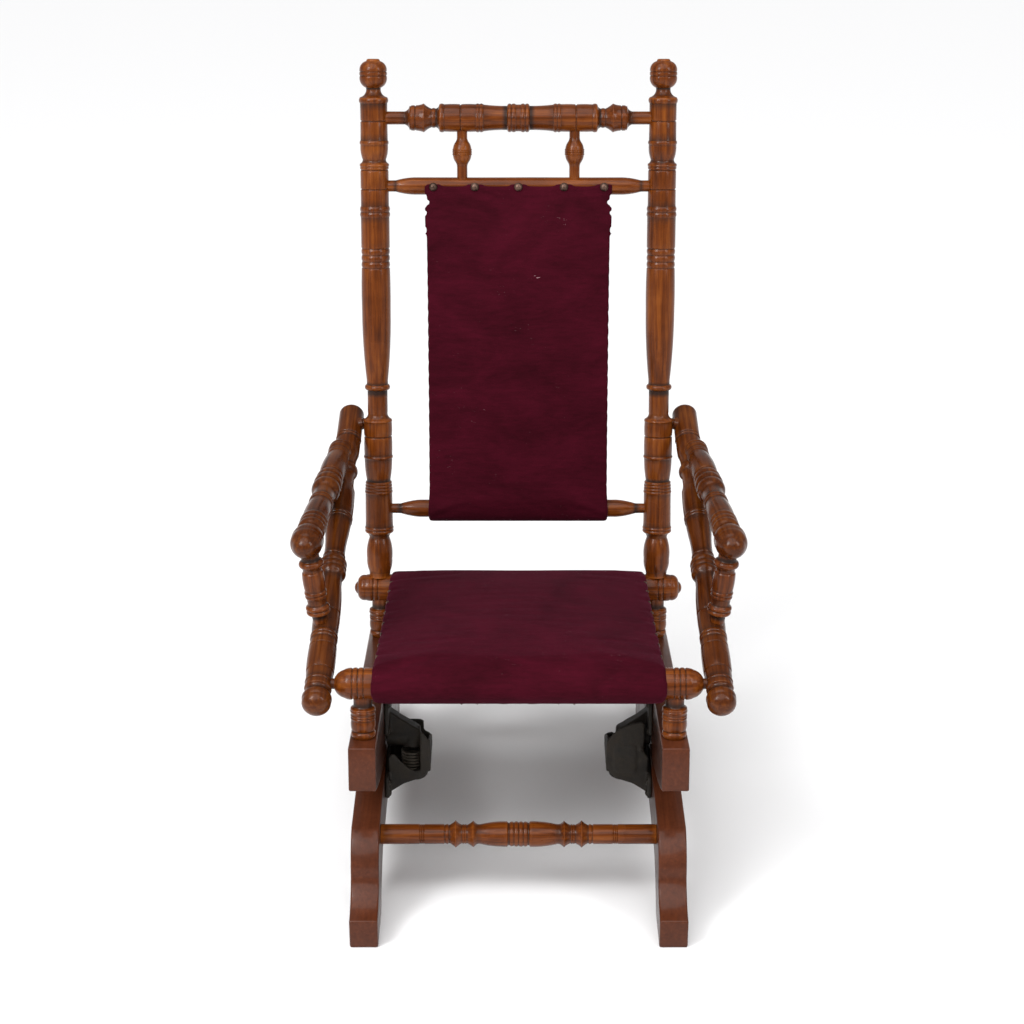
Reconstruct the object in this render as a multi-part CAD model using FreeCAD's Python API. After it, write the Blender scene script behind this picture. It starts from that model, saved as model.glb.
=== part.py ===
import FreeCAD, Part
import math
import os

# A platform rocking chair of turned wood. Millimetres, +Z up, the sitter faces -Y.
# A fixed base of two side boards and two stretchers carries iron spring castings.
# The upper frame stands on two curved rockers that roll along the tops of the boards.

os.makedirs("parts", exist_ok=True)
V = FreeCAD.Vector

# ---- base ----
BASE_LENGTH = 634.0
BASE_CENTRE_Y = -24.6  # middle of the base; y = 0 is the middle of the whole chair
BOARD_X = 206.0  # centre plane of each side board
BOARD_THICK = 38.0
PLATFORM_Z = 132.0  # flat top that the rockers roll on
TOE_HEIGHT = 42.0
ARCH_HEIGHT = 58.0
STRETCHER_Y = 197.0  # each side of the base's middle
STRETCHER_Z = 101.5

# ---- rocking motion ----
PAD_THICK = 1.2
PAD_GAP = 0.2
ROCKER_RADIUS = 800.0
TILT = 8.7  # degrees the upper frame leans back at rest
CONTACT_Y = BASE_CENTRE_Y + 80.0  # line of contact at rest
CONTACT_Z = PLATFORM_Z + PAD_THICK + 2 * PAD_GAP

# ---- upper frame, in its own axes: origin at the lowest point of the rocker's arc ----
HALF_SPACING = 205.0  # centre planes of rockers, legs and back posts
ROCKER_THICK = 36.0
ROCKER_FRONT = -240.0
ROCKER_REAR = 250.0
ROCKER_TOP = 97.0
FRONT_RAIL = (-200.0, 172.0)
REAR_RAIL = (214.0, 172.0)
FRONT_RAIL_R = 21.0
REAR_RAIL_R = 20.0
RAIL_HALF = 243.0
SIDE_RAIL_X = 168.0
SIDE_RAIL_R = 15.0
SEAT_FRONT_HALF = 191.5
SEAT_REAR_HALF = 187.0
SEAT_WRAP = 7.0

# ---- back, measured up along the posts from the rear seat rail's axis ----
RECLINE = 2.8  # degrees, against the upper frame's vertical
CREST_AT = 688.8
UPPER_RAIL_AT = 592.9
LOWER_RAIL_AT = 120.9
UPPER_RAIL_R = 12.25
LOWER_RAIL_R = 12.75
SPINDLE_X = 80.0
SLING_TOP_HALF = 135.0
SLING_WAIST_HALF = 130.5
NAIL_XS = (-121.0, -62.0, 0.0, 65.0, 122.0)

# ---- side braces, arms and their supports, in chair axes ----
BRACE_TOP = (246.0, BASE_CENTRE_Y + 256.0, 517.0)
BRACE_RAIL_X = 262.5
ARM_REAR = (254.5, BASE_CENTRE_Y + 222.0, 503.0)
ARM_FRONT = (278.0, BASE_CENTRE_Y - 130.0, 505.0)
SUPPORT_TOP = (276.0, BASE_CENTRE_Y - 124.0, 492.0)
SUPPORT_FOOT = (264.0, BASE_CENTRE_Y - 128.0, 376.0)

# ---- springs and their castings ----
SPRING_X = 149.0
SPRING_Y = BASE_CENTRE_Y - 40.0
COIL_R = 14.7
COIL_WIRE_R = 2.3
COIL_TURNS = 7
COIL_BOTTOM_Z = 107.3
COIL_TOP_Z = 147.5
HOUSING_HALF = 34.0  # from the coil's axis to the inside of each housing wall
HOUSING_WALL = 3.5
SLIP = 0.05  # slack round a tenon in its socket
CLEAR = 0.3  # gap between soft covers and what they lie on
BEAD = 0.45  # how far the rings on the seat rails stand out past the rails' radius

# A turning profile is a start radius and steps of (length, radius, bulge). The bulge
# is how far the line to the next radius swells out, or in when it is negative. DOME
# stands for the bulge of a round cap that meets the axis squarely.
DOME = None
POST_STEPS = [
    (8, 15.6, 0), (20, 18.9, 1.2), (32, 14.8, 2.0), (8, 20.3, -1.5),
    (4.5, 20.3, 1.0), (4.5, 20.3, 1.0), (50, 19.8, 0),
    (4.5, 19.4, 1.0), (4.5, 19.0, 1.0), (4.5, 18.9, 1.0), (4, 18.9, 0.6), (0.8, 17.2, 0),
    (34, 20.3, 0.8), (4.5, 20.3, 1.2), (27, 20.3, 0.4), (2.5, 20.3, -1.4), (20, 20.3, 0.4),
    (4.5, 19.2, 1.2), (10.5, 14.6, -2.0), (32.5, 14.6, 0),
    (1, 17.4, 0.2), (6, 17.4, 1.1), (1, 15.5, 0.2), (6, 15.5, 0), (102.5, 20.8, 1.4),
    (60.5, 20.4, 0.4), (1, 19.2, 0), (9.4, 19.2, 1.3), (9.4, 19.2, 1.3), (9.4, 19.2, 1.3),
    (1, 20.5, 0), (43.5, 20.5, 0), (7.6, 20.3, 1.1), (7.6, 20.3, 1.1), (0.8, 20.0, 0),
    (22.5, 20.0, 0), (2.4, 20.0, -1.2), (24.5, 20.0, 0), (1.6, 18.8, 0),
    (4.4, 20.0, 1.0), (4.4, 20.0, 1.0), (5.6, 16.6, -1.0), (21, 19.6, 1.2), (6, 19.4, 1.2),
    (26, 19.2, 0), (2.4, 19.2, -1.2), (23.5, 19.2, 0), (8.5, 19.0, 1.7), (13, 10.4, -3.2),
    (16, 19.2, 3.2), (1.4, 19.2, -0.8), (4.4, 19.3, 0.2), (1.4, 19.2, -0.8), (14, 9.8, 3.2),
    (3, 7.5, 0.5),
]
POST_START = 17.0  # where the post's foot profile begins, above the rail's axis
CREST_HALF = [
    (22, 9.2, 0), (7, 17.5, -1.6), (2, 17.5, -1.0), (5, 17.8, 0.2), (2, 17.8, -1.0),
    (11, 20.3, -0.6), (11, 13.0, -0.6), (6, 13.0, 1.0), (5, 19.0, -1.2), (7, 19.0, 1.2),
    (1.5, 19.2, 0), (20.5, 19.2, 0.3), (2.4, 19.2, -1.2), (20.5, 19.2, 0.3),
    (5, 19.2, 1.0), (5, 19.2, 1.0), (1, 18.6, 0), (33, 16.8, -0.5), (1, 18.8, 0),
    (5.3, 18.8, 1.3), (6.4, 18.8, 1.3),
]
SPINDLE_HALF = [(9, 6.5, 0), (7, 9.0, -0.6), (10, 12.6, 0.8), (2.2, 12.6, 0.9)]
BACK_RAIL_NECK = [(8, 8.0, 0), (22, 12.0, 0.6)]
FRONT_RAIL_END = [
    (14, 18.5, DOME), (10, 21.0, 0.8), (2.4, 21.0, -1.0), (5, 21.0, 0.4), (2.4, 21.0, -1.0),
    (5, 21.0, 0.4), (2.4, 21.0, -1.0),
]
REAR_RAIL_END = [
    (5, 9.5, DOME), (12, 19.0, 3.6), (10, 20.0, 0.6), (2.4, 20.0, -1.0),
    (5, 20.0, 0.4), (2.4, 20.0, -1.0),
]
SIDE_RAIL_HALF = [(30, 15.0, 0.6), (3, 15.0, -1.0)]
LEG_STEPS = [
    (10, 12.2, 0), (3, 15.6, -0.5), (3, 16.0, 0.5), (3.4, 16.0, 0.8), (3, 15.4, 0),
    (3.4, 15.4, 1.0), (3.4, 15.4, 1.0), (14, 15.6, 0.9), (2, 13.8, 0), (9, 13.8, 2.6),
    (1.5, 13.0, 0),
]
BRACE_STEPS = [
    (8, 14.0, DOME), (9, 18.0, 1.4), (48, 18.0, 0), (3, 18.0, -1.0), (3, 17.6, 0.8),
    (3, 17.6, -1.0), (26, 17.4, 0.3), (26, 14.7, -1.2), (5, 17.6, 0), (10, 17.6, 1.2),
    (1, 16.4, 0), (14, 15.0, -0.6), (22, 18.0, -1.0), (51, 18.8, 0.6), (4.6, 18.2, 1.0),
    (4.6, 18.2, 1.0), (25, 16.4, 0), (33, 14.4, -0.5), (9, 14.6, 0), (3.6, 14.6, 1.0),
    (7.6, 17.6, -0.5), (8.8, 17.6, 1.3), (8.8, 17.6, 1.3), (8.8, 17.6, 1.3),
    (6, 14.6, -0.5), (13, 14.8, 0), (52, 18.2, 0.8), (3, 18.2, -1.0), (36, 17.4, 0.4),
    (5.6, 17.4, 1.1), (5.6, 17.4, 1.1), (12, 18.6, 0), (2, 18.6, -0.8), (40, 18.6, 0.5),
    (2.4, 18.2, -0.9), (14, 17.4, 0), (4, 17.4, 1.0), (9, 18.2, 0), (7, 15.2, -1.2),
    (13, 19.0, 2.4), (12, 15.2, 1.6), (7, 0, DOME),
]
ARM_STEPS = [
    (20, 12.0, 0), (4, 15.6, 0), (8, 15.6, 1.4), (8, 15.6, 1.4), (4, 14.4, 0),
    (7, 15.0, 1.2), (7, 15.0, 1.2), (4, 15.6, 0), (58, 17.2, 1.8), (4, 16.0, -0.6),
    (17, 17.8, 2.2), (17, 17.8, 2.2), (17, 17.8, 2.2), (8, 14.6, -0.8), (20, 15.4, 0),
    (7, 15.6, 1.3), (7, 15.6, 1.3), (50, 17.4, 1.2), (11, 17.4, 1.4), (11, 17.4, 1.4),
    (11, 17.4, 1.4), (7, 15.2, -0.8), (24, 21.0, 2.8), (16, 16.8, 1.8), (12.5, 0, DOME),
]
SUPPORT_STEPS = [
    (14, 8.0, 0), (0.5, 9.2, 0), (9, 9.6, 0), (4, 14.2, -1.0), (6, 14.6, 1.6), (6, 14.6, 1.6),
    (4, 12.6, -0.6), (7, 13.0, 0), (5.5, 13.4, 1.2), (5.5, 13.4, 1.2), (26, 13.6, 0.8),
    (3, 12.4, -0.4), (7, 16.0, -1.2), (1.5, 16.0, 0), (8, 16.0, 0),
]
STRETCHER_HALF = [
    (52, 13.5, 0), (1, 12.4, 0), (2.6, 12.4, 1.0), (2.6, 12.4, 1.0), (1, 13.5, 0),
    (26, 13.5, 0), (1.6, 12.2, 0), (4, 13.6, 0.4), (1.6, 12.2, 0), (9, 18.6, -0.6),
    (9, 12.4, -0.6), (3, 12.4, 1.0), (3, 12.4, 1.0), (9, 18.2, -0.6), (6, 13.4, -0.6),
    (3, 13.4, 0), (37, 17.2, 1.2), (3, 15.0, -0.6), (6.3, 15.4, 1.6), (6.3, 15.4, 1.6),
]


def both_halves(start, steps):
    """A profile that runs in from one end to the middle, and its mirror image out."""
    radii = [start] + [step[1] for step in steps]
    back = [(steps[i][0], radii[i], steps[i][2]) for i in reversed(range(len(steps)))]
    return list(steps) + back


def dome_bulge(radius, height):
    half_chord = math.hypot(radius, height) / 2
    return half_chord * math.tan(math.atan2(height, radius) / 2)


def length_of(steps):
    return sum(step[0] for step in steps)


def turned(start, steps):
    """A solid turned about Z, from z = 0 up."""
    here = V(start, 0, 0)
    edges = []
    if start > 0:
        edges.append(Part.makeLine(V(0, 0, 0), here))
    z = 0.0
    for length, radius, bulge in steps:
        z += length
        there = V(radius, 0, z)
        if bulge is DOME:
            bulge = dome_bulge(max(here.x, radius), length)
        if bulge:
            chord = there - here
            side = V(chord.z, 0, -chord.x)
            side.normalize()
            middle = (here + there) * 0.5 + side * bulge
            edges.append(Part.Arc(here, middle, there).toShape())
        else:
            edges.append(Part.makeLine(here, there))
        here = there
    if here.x > 0:
        edges.append(Part.makeLine(here, V(0, 0, z)))
    edges.append(Part.makeLine(V(0, 0, z), V(0, 0, 0)))
    face = Part.Face(Part.Wire(edges))
    return face.revolve(V(0, 0, 0), V(0, 0, 1), 360)


def aimed(shape, start, end):
    """A shape built up Z from the origin, moved to start with its Z toward end."""
    turn = FreeCAD.Rotation(V(0, 0, 1), end - start)
    out = shape.copy()
    out.Placement = FreeCAD.Placement(start, turn)
    return out


def rod(start, end, radius):
    return Part.makeCylinder(radius, (end - start).Length, start, end - start)


def along(start, end, distance):
    """The point that lies this far from start on the way to end."""
    way = end - start
    way.normalize()
    return start + way * distance


def prism_x(outline, x0, x1):
    """A prism along X over an outline of (y, z) points; a triple is an arc's middle."""
    edges = []
    count = len(outline)
    i = 0
    while i < count:
        here = V(x0, outline[i][0], outline[i][1])
        after = outline[(i + 1) % count]
        if len(after) == 3:
            last = outline[(i + 2) % count]
            middle = V(x0, after[0], after[1])
            edges.append(Part.Arc(here, middle, V(x0, last[0], last[1])).toShape())
            i += 2
        else:
            edges.append(Part.makeLine(here, V(x0, after[0], after[1])))
            i += 1
    return Part.Face(Part.Wire(edges)).extrude(V(x1 - x0, 0, 0))


def upper_point(x, y, z):
    """A point of the upper frame's own axes, in chair axes at rest."""
    c = math.cos(math.radians(TILT))
    s = math.sin(math.radians(TILT))
    drop = z - ROCKER_RADIUS
    return V(x, CONTACT_Y + y * c + drop * s, CONTACT_Z + ROCKER_RADIUS - y * s + drop * c)


def to_chair(shape):
    """A shape built in the upper frame's own axes, leaned back to its place at rest."""
    lean = FreeCAD.Rotation(V(1, 0, 0), -TILT)
    out = shape.copy()
    out.Placement = FreeCAD.Placement(upper_point(0, 0, 0), lean).multiply(out.Placement)
    return out


def back_point(x, up, forward=0.0):
    """A point of the back: up along the posts, and forward of their centre plane."""
    a = math.radians(RECLINE)
    y = REAR_RAIL[0] + up * math.sin(a) - forward * math.cos(a)
    z = REAR_RAIL[1] + up * math.cos(a) + forward * math.sin(a)
    return upper_point(x, y, z)


def back_shape(shape):
    """A shape built with x across, y backward and z up the posts, put in its place."""
    lean = FreeCAD.Rotation(V(1, 0, 0), -TILT - RECLINE)
    out = shape.copy()
    out.Placement = FreeCAD.Placement(back_point(0, 0), lean).multiply(out.Placement)
    return out


parts = {}

# ================================ base ================================


def base_board(x0, x1):
    """A side board on edge: flat on top, ogee ends down to two toes, arched below."""
    half = BASE_LENGTH / 2
    mid = BASE_CENTRE_Y

    def at(y, z):
        return (mid + y, z)

    def bend(y, z):
        return (mid + y, z, 0)

    outline = [at(-half, 0), at(-half, TOE_HEIGHT)]
    outline += [bend(-half + 30, 51), at(-half + 52, 74), bend(-half + 66, 112)]
    outline += [at(-half + 92, PLATFORM_Z), at(half - 92, PLATFORM_Z)]
    outline += [bend(half - 66, 112), at(half - 52, 74), bend(half - 30, 51)]
    outline += [at(half, TOE_HEIGHT), at(half, 0), at(half - 78, 0)]
    outline += [bend(half - 104, 30), at(half - 150, ARCH_HEIGHT), at(-half + 150, ARCH_HEIGHT)]
    outline += [bend(-half + 104, 30), at(-half + 78, 0)]
    return prism_x(outline, x0, x1)


BOARD_INNER = BOARD_X - BOARD_THICK / 2
STRETCHER_TENON = 18.0
for end, name in ((-1, "front_stretcher"), (1, "rear_stretcher")):
    y = BASE_CENTRE_Y + end * STRETCHER_Y
    profile = both_halves(13.5, STRETCHER_HALF)
    body = turned(13.5, profile)
    reach = length_of(profile) / 2
    body = aimed(body, V(-reach, y, STRETCHER_Z), V(reach, y, STRETCHER_Z))
    span = Part.makeBox(2 * BOARD_INNER, 60, 60, V(-BOARD_INNER, y - 30, STRETCHER_Z - 30))
    body = body.common(span)
    for side in (-1, 1):
        start = V(side * (BOARD_INNER - 1), y, STRETCHER_Z)
        body = body.fuse(rod(start, V(side * (BOARD_INNER + STRETCHER_TENON), y, STRETCHER_Z), 9.5))
    parts[name] = body.removeSplitter()

for side, name in ((-1, "left_base_board"), (1, "right_base_board")):
    x0 = side * BOARD_X - BOARD_THICK / 2
    board = base_board(x0, x0 + BOARD_THICK)
    for end in (-1, 1):
        y = BASE_CENTRE_Y + end * STRETCHER_Y
        start = V(side * (BOARD_INNER - 1), y, STRETCHER_Z)
        stop = V(side * (BOARD_INNER + STRETCHER_TENON + 1), y, STRETCHER_Z)
        board = board.cut(rod(start, stop, 9.5 + SLIP))
    parts[name] = board

# ============================ spring castings ============================

PLATE_THICK = 6.0
SCREW_R = 2.5


def screw(head, inward):
    """A round-headed screw driven along X, its head on the casting's plate."""
    steps = [(14, SCREW_R, 0), (0, 5.0, 0), (0.8, 5.0, 0), (2.2, 0, DOME)]
    return aimed(turned(SCREW_R, steps), head + V(-inward * 14, 0, 0), head)


LOWER_SCREWS = ((-46, 76), (46, 76), (-46, 112), (46, 112))
UPPER_SCREWS = ((-30, 40), (30, 40), (-30, 78), (30, 78))
CUP_R = 20.5
CUP_BORE_R = 18.0
BARREL_R = 14.0
BARREL_Z = 21.4  # axis of the upper casting's barrel, in the upper frame's axes

# outlines in (distance from the chair's middle plane, height)
HOUSING = (
    (182, 93), (160, 108.5), (138, 116), (127, 127), (123.5, 137), (123, 175), (131.5, 188),
    (143.5, 199), (165, 206), (176, 207.5), (176, 158), (182, 152),
)
HOUSING_INSIDE = (
    (190, 102), (160, 114), (140, 121), (131, 130), (127, 139), (126.5, 176), (126.5, 230),
    (190, 230),
)
HOUSING_WINDOW = ((138, 127), (151, 129.5), (168, 148), (190, 182), (190, 230), (138, 230))


def back_plate(face, inner, y, half_length, z0, height):
    """A casting's mounting plate, with rounded corners, against a wood face."""
    corner = V(min(inner, face), y - half_length, z0)
    plate = Part.makeBox(PLATE_THICK, 2 * half_length, height, corner)
    corners = [e for e in plate.Edges if abs(e.Length - PLATE_THICK) < 0.01]
    return plate.makeFillet(12, corners)


def slab_over(side, outline, y0, y1):
    """A slab from y0 to y1 over an outline given for one side of the chair."""
    corners = [V(side * x, y0, z) for x, z in outline]
    face = Part.Face(Part.makePolygon(corners + corners[:1]))
    return face.extrude(V(0, y1 - y0, 0))


def lower_casting(side, inner, face):
    """A plate on the board with a housing round the coil: closed on one side and on the
    other opened by a window. The two castings are alike, one turned end for end."""
    outer = HOUSING_HALF + HOUSING_WALL
    closed = -side
    plate = back_plate(face, inner, SPRING_Y, 54, 64, 62)
    shell = slab_over(side, HOUSING, SPRING_Y - outer, SPRING_Y + outer)
    inside = slab_over(side, HOUSING_INSIDE, SPRING_Y - HOUSING_HALF, SPRING_Y + HOUSING_HALF)
    window = slab_over(side, HOUSING_WINDOW, SPRING_Y, SPRING_Y - closed * (outer + 1))
    shell = shell.cut(inside).cut(window)
    left = min(side * 134, side * 165)
    panel = Part.makeBox(31, 2.5, 43, V(left, SPRING_Y + closed * outer - 1.25, 127.5))
    panel = panel.makeFillet(7, [e for e in panel.Edges if abs(e.Length - 2.5) < 0.01])
    button = Part.makeCylinder(3.5, 4, V(side * 171, SPRING_Y + closed * (outer - 1.5), 165),
                               V(0, closed, 0))
    cup = Part.makeCylinder(CUP_R, 15, V(side * SPRING_X, SPRING_Y, COIL_BOTTOM_Z - 4.3))
    well = Part.makeCylinder(CUP_BORE_R, 24, V(side * SPRING_X, SPRING_Y, COIL_BOTTOM_Z - 0.3))
    whole = plate.fuse([shell, panel, button, cup])
    return whole.removeSplitter().cut(well)


def upper_casting(side, inner, face):
    """A plate on the rocker with a barrel out over the coil, braced by a sloping web."""
    plate = back_plate(face, inner, 0, 40, 32, 54)
    web = ((182, 62), (166, 49), (140, 33), (140, 22), (182, 22))
    web = slab_over(side, web, -12, 12)
    barrel = Part.makeCylinder(BARREL_R, 44, V(side * 138, 0, BARREL_Z), V(side, 0, 0))
    seat = Part.makeCylinder(16, 14, V(side * SPRING_X, 0, 8))
    hip = Part.makeBox(6, 24, 20, V(min(side * 181, side * 187), -12, 16))
    return plate.fuse([web, barrel, seat, hip]).removeSplitter()


def coil_spring(side):
    """A coil standing in the lower cup."""
    rise = COIL_TOP_Z - COIL_BOTTOM_Z - 2 * COIL_WIRE_R - 1.0
    helix = Part.makeHelix(rise / COIL_TURNS, rise, COIL_R)
    ring = Part.Wire(Part.makeCircle(COIL_WIRE_R, V(COIL_R, 0, 0), V(0, 1, 0)))
    coil = Part.Wire(helix.Edges).makePipeShell([ring], True, True)
    foot = V(side * SPRING_X, SPRING_Y, COIL_BOTTOM_Z + COIL_WIRE_R)
    coil.Placement = FreeCAD.Placement(foot, FreeCAD.Rotation())
    return coil


for side, word in ((-1, "left"), (1, "right")):
    inner = side * BOARD_INNER
    face = inner - side * PLATE_THICK
    screws = [screw(V(face, SPRING_Y + dy, z), -side) for dy, z in LOWER_SCREWS]
    casting = lower_casting(side, inner, face)
    for driven in screws:
        casting = casting.cut(driven)
        parts[word + "_base_board"] = parts[word + "_base_board"].cut(driven)
    parts[word + "_lower_casting"] = casting
    parts[word + "_lower_screws"] = Part.makeCompound(screws)

    # the upper casting is drawn in the upper frame's axes and then leaned back with it
    inner = side * (HALF_SPACING - ROCKER_THICK / 2)
    face = inner - side * PLATE_THICK
    screws = [screw(V(face, dy, z), -side) for dy, z in UPPER_SCREWS]
    casting = upper_casting(side, inner, face)
    for driven in screws:
        casting = casting.cut(driven)
    parts[word + "_upper_casting"] = to_chair(casting)
    parts[word + "_upper_screws"] = to_chair(Part.makeCompound(screws))
    parts[word + "_coil_spring"] = coil_spring(side)

# ================================ wear pads ================================

for side, name in ((-1, "left_wear_pad"), (1, "right_wear_pad")):
    corner = V(side * HALF_SPACING - 16, CONTACT_Y - 28, PLATFORM_Z + PAD_GAP)
    pad = Part.makeBox(32, 56, PAD_THICK, corner)
    upright = [e for e in pad.Edges if abs(e.Length - PAD_THICK) < 0.01]
    parts[name] = pad.makeFillet(4, upright)

# ============================ rockers and legs ============================

LEG_LENGTH = length_of(LEG_STEPS)
LEG_TENON = 9.0
LEG_TENON_DEEP = 16.0


def arc_height(y):
    return ROCKER_RADIUS - math.sqrt(ROCKER_RADIUS ** 2 - y ** 2)


def leg_between(x, rail, rail_r):
    """A turned leg from the rocker up to a seat rail, with a tenon at each end."""
    y, rail_z = rail
    shoulder = ROCKER_TOP + LEG_LENGTH
    leg = turned(12.2, [(0.2, 12.2, 0)] + LEG_STEPS)
    leg = aimed(leg, V(x, y, shoulder + 0.2), V(x, y, ROCKER_TOP))
    neck = rod(V(x, y, shoulder - 1), V(x, y, rail_z), 12.2)
    across = Part.makeCylinder(rail_r + BEAD, 80, V(x - 40, y, rail_z), V(1, 0, 0))
    leg = leg.fuse(neck).cut(across)
    top_tenon = rod(V(x, y, rail_z - rail_r - 4), V(x, y, rail_z - 4), LEG_TENON)
    foot_tenon = rod(V(x, y, ROCKER_TOP + 4), V(x, y, ROCKER_TOP - LEG_TENON_DEEP), LEG_TENON)
    return leg.fuse([top_tenon, foot_tenon]).removeSplitter()


for side, word in ((-1, "left"), (1, "right")):
    x = side * HALF_SPACING
    outline = [(ROCKER_FRONT, ROCKER_TOP), (ROCKER_FRONT, arc_height(ROCKER_FRONT))]
    outline += [(0, 0, 0), (ROCKER_REAR, arc_height(ROCKER_REAR)), (ROCKER_REAR, ROCKER_TOP)]
    rocker = prism_x(outline, x - ROCKER_THICK / 2, x + ROCKER_THICK / 2)
    rims = [e for e in rocker.Edges if abs(e.BoundBox.XLength) < 0.01]
    rocker = rocker.makeChamfer(1.4, rims)
    legs = (("front", FRONT_RAIL, FRONT_RAIL_R), ("rear", REAR_RAIL, REAR_RAIL_R))
    for end, rail, rail_r in legs:
        parts[word + "_" + end + "_leg"] = to_chair(leg_between(x, rail, rail_r))
        floor = ROCKER_TOP - LEG_TENON_DEEP - 0.5
        above = V(x, rail[0], ROCKER_TOP + 4)
        rocker = rocker.cut(rod(above, V(x, rail[0], floor), LEG_TENON + SLIP))
    inner = side * (HALF_SPACING - ROCKER_THICK / 2)
    for dy, z in UPPER_SCREWS:
        rocker = rocker.cut(screw(V(inner - side * PLATE_THICK, dy, z), -side))
    parts[word + "_rocker"] = to_chair(rocker)

# ================================ seat rails ================================

SIDE_TENON = 8.0
POST_TENON = 10.0


def seat_rail(place, radius, end_steps):
    """A round rail across the seat with turned ends, bored for legs and side rails."""
    middle = 2 * RAIL_HALF - 2 * length_of(end_steps)
    front = list(end_steps) + [(middle / 2, radius, 0)]
    shape = turned(0, both_halves(0, front))
    shape = aimed(shape, V(-RAIL_HALF, place[0], place[1]), V(RAIL_HALF, place[0], place[1]))
    toward = 1 if place[0] < 0 else -1
    for side in (-1, 1):
        x = side * HALF_SPACING
        below = V(x, place[0], place[1] - radius - 4)
        leg_socket = rod(below, V(x, place[0], place[1] - 3.5), LEG_TENON + SLIP)
        begin = V(side * SIDE_RAIL_X, place[0] + toward * (radius - 13.5), place[1])
        side_socket = rod(begin, begin + V(0, toward * 30, 0), SIDE_TENON + SLIP)
        shape = shape.cut(leg_socket).cut(side_socket)
    return shape


front_rail = to_chair(seat_rail(FRONT_RAIL, FRONT_RAIL_R, FRONT_RAIL_END))
rear_rail = to_chair(seat_rail(REAR_RAIL, REAR_RAIL_R, REAR_RAIL_END))

for side, name in ((-1, "left_side_rail"), (1, "right_side_rail")):
    x = side * SIDE_RAIL_X
    span = REAR_RAIL[0] - FRONT_RAIL[0]
    half = SIDE_RAIL_HALF + [(span / 2 - length_of(SIDE_RAIL_HALF), SIDE_RAIL_R, 0)]
    bar = turned(13.5, both_halves(13.5, half))
    bar = aimed(bar, V(x, FRONT_RAIL[0], FRONT_RAIL[1]), V(x, REAR_RAIL[0], REAR_RAIL[1]))
    bar = bar.cut(Part.makeCylinder(FRONT_RAIL_R, 60, V(x - 30, *FRONT_RAIL), V(1, 0, 0)))
    bar = bar.cut(Part.makeCylinder(REAR_RAIL_R, 60, V(x - 30, *REAR_RAIL), V(1, 0, 0)))
    front_end = V(x, FRONT_RAIL[0] + FRONT_RAIL_R - 13, FRONT_RAIL[1])
    rear_end = V(x, REAR_RAIL[0] - REAR_RAIL_R + 13, REAR_RAIL[1])
    bar = bar.fuse(rod(front_end, rear_end, SIDE_TENON)).removeSplitter()
    parts[name] = to_chair(bar)

# ================================ back ================================

POST_TOP = POST_START + length_of(POST_STEPS)
posts = {}
for side, word in ((-1, "left"), (1, "right")):
    x = side * HALF_SPACING
    post = turned(15.0, POST_STEPS)
    post = aimed(post, V(x, 0, POST_START), V(x, 0, POST_TOP))
    filler = rod(V(x, 0, 0), V(x, 0, POST_START + 1), 15.0)
    hollow = Part.makeCylinder(REAR_RAIL_R + BEAD, 80, V(x - 40, 0, 0), V(1, 0, 0))
    post = post.fuse(filler).cut(hollow)
    post = post.fuse(rod(V(x, 0, 6), V(x, 0, 24), POST_TENON)).removeSplitter()
    posts[word] = post
    socket = back_shape(rod(V(x, 0, 5.5), V(x, 0, 30), POST_TENON + SLIP))
    rear_rail = rear_rail.cut(socket)


def between_posts(up, start, half):
    """A rail from post to post with round tenons, its half profile running inward."""
    inner = HALF_SPACING - 22
    steps = list(half)
    steps.append((max(inner - length_of(steps), 0.01), steps[-1][1], 0))
    shape = turned(start, both_halves(start, steps))
    reach = length_of(steps)
    shape = aimed(shape, V(-reach, 0, up), V(reach, 0, up))
    tenon = min(start, 7.0)
    tip = HALF_SPACING - 8
    shape = shape.fuse(rod(V(-tip, 0, up), V(tip, 0, up), tenon)).removeSplitter()
    for word in posts:
        posts[word] = posts[word].cut(rod(V(-tip - 0.5, 0, up), V(tip + 0.5, 0, up), tenon + SLIP))
    return shape


crest = between_posts(CREST_AT, 9.2, CREST_HALF)
upper_rail = between_posts(UPPER_RAIL_AT, 8.0, BACK_RAIL_NECK + [(5, UPPER_RAIL_R, 0)])
LOWER_RAIL_HALF = [(10, 7.2, 0), (24, 12.4, 0.6), (5, LOWER_RAIL_R, 0)]
lower_rail = between_posts(LOWER_RAIL_AT, 7.0, LOWER_RAIL_HALF)

SPINDLE_TENON = 5.0
CREST_R = 19.4  # of the crest rail where a spindle meets it
for side, name in ((-1, "left_spindle"), (1, "right_spindle")):
    x = side * SPINDLE_X
    gap = CREST_AT - UPPER_RAIL_AT
    steps = both_halves(6.5, SPINDLE_HALF + [(2.2, 12.6, 0.9)])
    pad = (gap - length_of(steps)) / 2
    steps = [(pad, 6.5, 0)] + steps + [(pad, 6.5, 0)]
    spindle = turned(6.5, steps)
    spindle = aimed(spindle, V(x, 0, UPPER_RAIL_AT), V(x, 0, CREST_AT))
    for rail_r, up in ((UPPER_RAIL_R, UPPER_RAIL_AT), (CREST_R, CREST_AT)):
        spindle = spindle.cut(Part.makeCylinder(rail_r, 40, V(x - 20, 0, up), V(1, 0, 0)))
    low = V(x, 0, UPPER_RAIL_AT + 3)
    high = V(x, 0, CREST_AT - 9)
    spindle = spindle.fuse(rod(low, high, SPINDLE_TENON)).removeSplitter()
    parts[name] = back_shape(spindle)
    drill = rod(low - V(0, 0, 0.5), high + V(0, 0, 0.5), SPINDLE_TENON + SLIP)
    crest = crest.cut(drill)
    upper_rail = upper_rail.cut(drill)

# ---- upholstered back: a padded sling over the two fabric rails ----


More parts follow.
